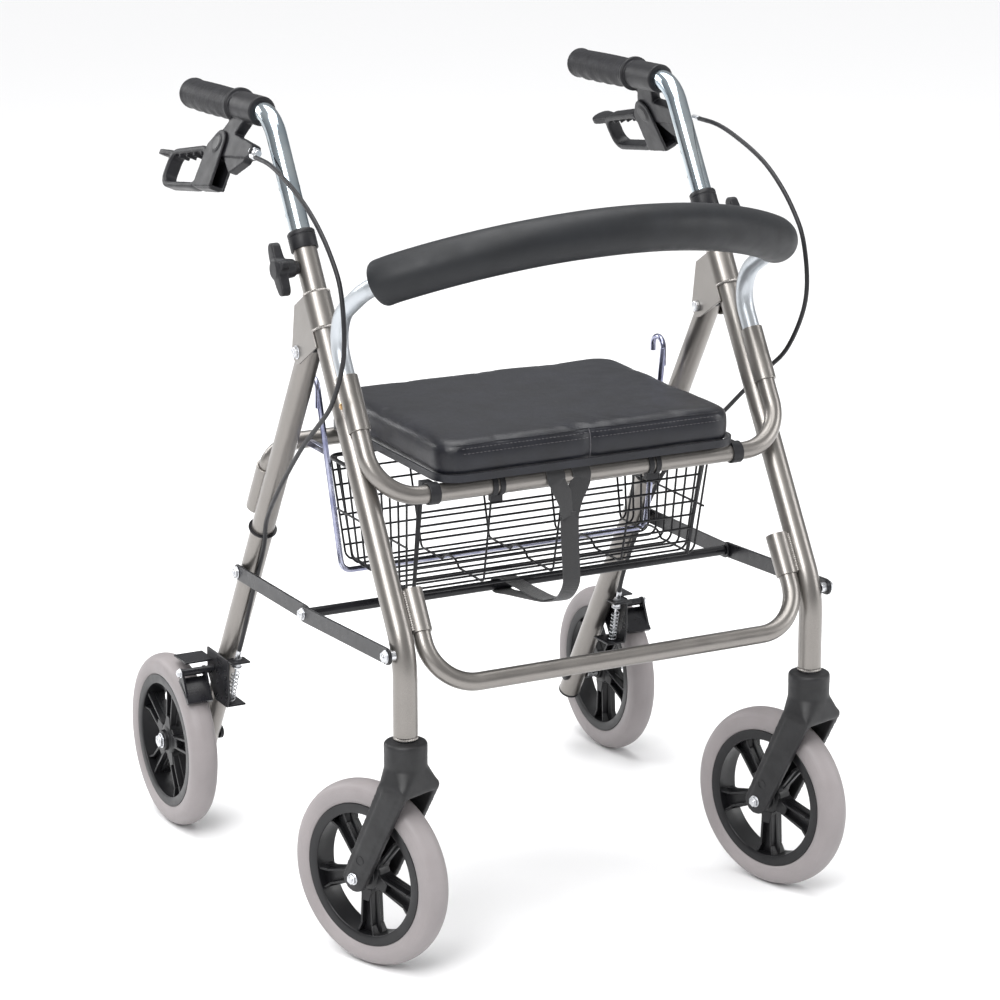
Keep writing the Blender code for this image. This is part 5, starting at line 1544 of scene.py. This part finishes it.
def strip(path, half_width, thickness, widths):
    """A strap along path; widths gives the direction of its width at each point."""
    path = [Vector(p) for p in path]
    along = directions(path)
    points = []
    for place, heading, width in zip(path, along, widths):
        side = (Vector(width) - heading * Vector(width).dot(heading)).normalized()
        up = heading.cross(side)
        for a, b in (
            (-1, -1), (-0.5, -1.15), (0, -1.2), (0.5, -1.15), (1, -1), (1, 1), (0.5, 1.15), (0, 1.2),
            (-0.5, 1.15), (-1, 1),
        ):
            points.append(place + side * (a * half_width) + up * (b * thickness / 2))
    faces = []
    for i in range(len(path) - 1):
        faces += ring_faces(i * 10, (i + 1) * 10, 10)
    last = (len(path) - 1) * 10
    return points, faces + [tuple(range(10)), tuple(range(last, last + 10))]


def strap():
    """The pull strap: round the seat tube, down in front of the basket, under it and round the cross rod."""
    tube_at = on_front_leg(0, SEAT_RUN, -SOCKET_OFFSET)
    radius = CROSS_TUBE_RADIUS + 0.0012
    legs = []
    for start_x, lean in ((STRAP_X - 0.0150, 1), (STRAP_X + 0.0150, -1)):
        wrap = [
            (start_x, tube_at.y + radius * math.sin(a), tube_at.z + radius * math.cos(a))
            for a in (math.radians(d) for d in (60, 20, -20, -60, -90))
        ]
        drop = [
            (start_x + lean * 0.003, tube_at.y - radius - 0.0006 * (1 + lean), 0.484),
            (start_x + lean * 0.010, tube_at.y - radius - 0.0007 * (1 + lean), 0.470),
            (STRAP_X, tube_at.y - radius - 0.0009 * (1 + lean), 0.452),
        ]
        legs.append(smooth_route(wrap + drop, 4))
    shapes = []
    for path, lean in zip(legs, (1, -1)):
        widths = [
            (1, 0, 0.0) if i < len(path) * 0.6 else (1, lean * 0.25, 0.35 * lean) for i in range(len(path))
        ]
        shapes.append(strip(path, 0.0105, 0.0011, widths))
    front = tube_at.y - radius - 0.0014
    rod_y, rod_z = LINK_MID
    main = [
        (STRAP_X, front, 0.456), (STRAP_X, front - 0.0006, 0.430), (STRAP_X + 0.001, front - 0.0018, 0.400),
        (STRAP_X + 0.002, front - 0.0005, 0.378), (STRAP_X + 0.002, -0.2200, 0.3590),
        (STRAP_X + 0.002, -0.1960, 0.3480), (STRAP_X + 0.002, -0.1540, 0.3400),
        (STRAP_X + 0.002, -0.1100, 0.3330), (STRAP_X + 0.002, rod_y - 0.004, rod_z - 0.0072),
        (STRAP_X + 0.002, rod_y + 0.0055, rod_z - 0.0048), (STRAP_X + 0.002, rod_y + 0.0074, rod_z + 0.0008),
        (STRAP_X + 0.002, rod_y + 0.0040, rod_z + 0.0064), (STRAP_X + 0.001, rod_y - 0.0060, rod_z + 0.0098),
        (STRAP_X - 0.001, rod_y - 0.0240, rod_z + 0.0130), (STRAP_X - 0.002, rod_y - 0.0480, rod_z + 0.0130),
        (STRAP_X - 0.001, rod_y - 0.0760, rod_z + 0.0125), (STRAP_X, rod_y - 0.1000, rod_z + 0.0125),
        (STRAP_X + 0.001, -0.1960, 0.3500),
    ]
    path = smooth_route(main, 5)
    widths = [(1, 0.10 * math.sin(i * 0.11), 0.06 * math.cos(i * 0.13)) for i in range(len(path))]
    shapes.append(strip(path, 0.0108, 0.0011, widths))
    made = piece("pull_strap_web", together(*shapes), "webbing", "front_frame", "pull_strap")
    return made


def main():
    LOOKS.update(make_looks())
    make_camera()
    make_studio()
    seat_end = sum(SEAT_SOCKET) / 2 - 0.002
    cross_tube(
        "seat_front_tube", LEG_X, seat_end, SEAT_RUN, -SOCKET_OFFSET, on_front_leg, "front_frame", 0.05
    )
    cross_tube(
        "lower_cross_tube", LEG_X - SOCKET_OFFSET, LOWER_SOCKET[1] - 0.008, LOWER_RUN, 0, on_front_leg,
        "front_frame", 0.05,
    )
    cross_tube("rear_seat_tube", LEG_X, 0.222, REAR_RUN, SOCKET_OFFSET, on_rear_leg, "rear_frame", 0.032)
    backrest()
    basket_bail()
    cross_rod()
    for side in SIDES:
        front_leg(side)
        fold_bracket(side)
        leg_collar(side)
        rear_leg(side)
        caster(side)
        wheel(
            f"rear_{SIDES[side]}", f"rear_wheel_{SIDES[side]}",
            Matrix.Translation((side * REAR_WHEEL_X, REAR_AXLE_Y, WHEEL_RADIUS)),
            math.radians(10 if side < 0 else 36),
        )
        links(side)
        handle(side)
        lever(side)
        knob(side)
        rear_brake(side)
        cable(side)
    seat()
    dress_board()
    hinge_clips()
    basket()
    basket_clips()
    strap()


main()
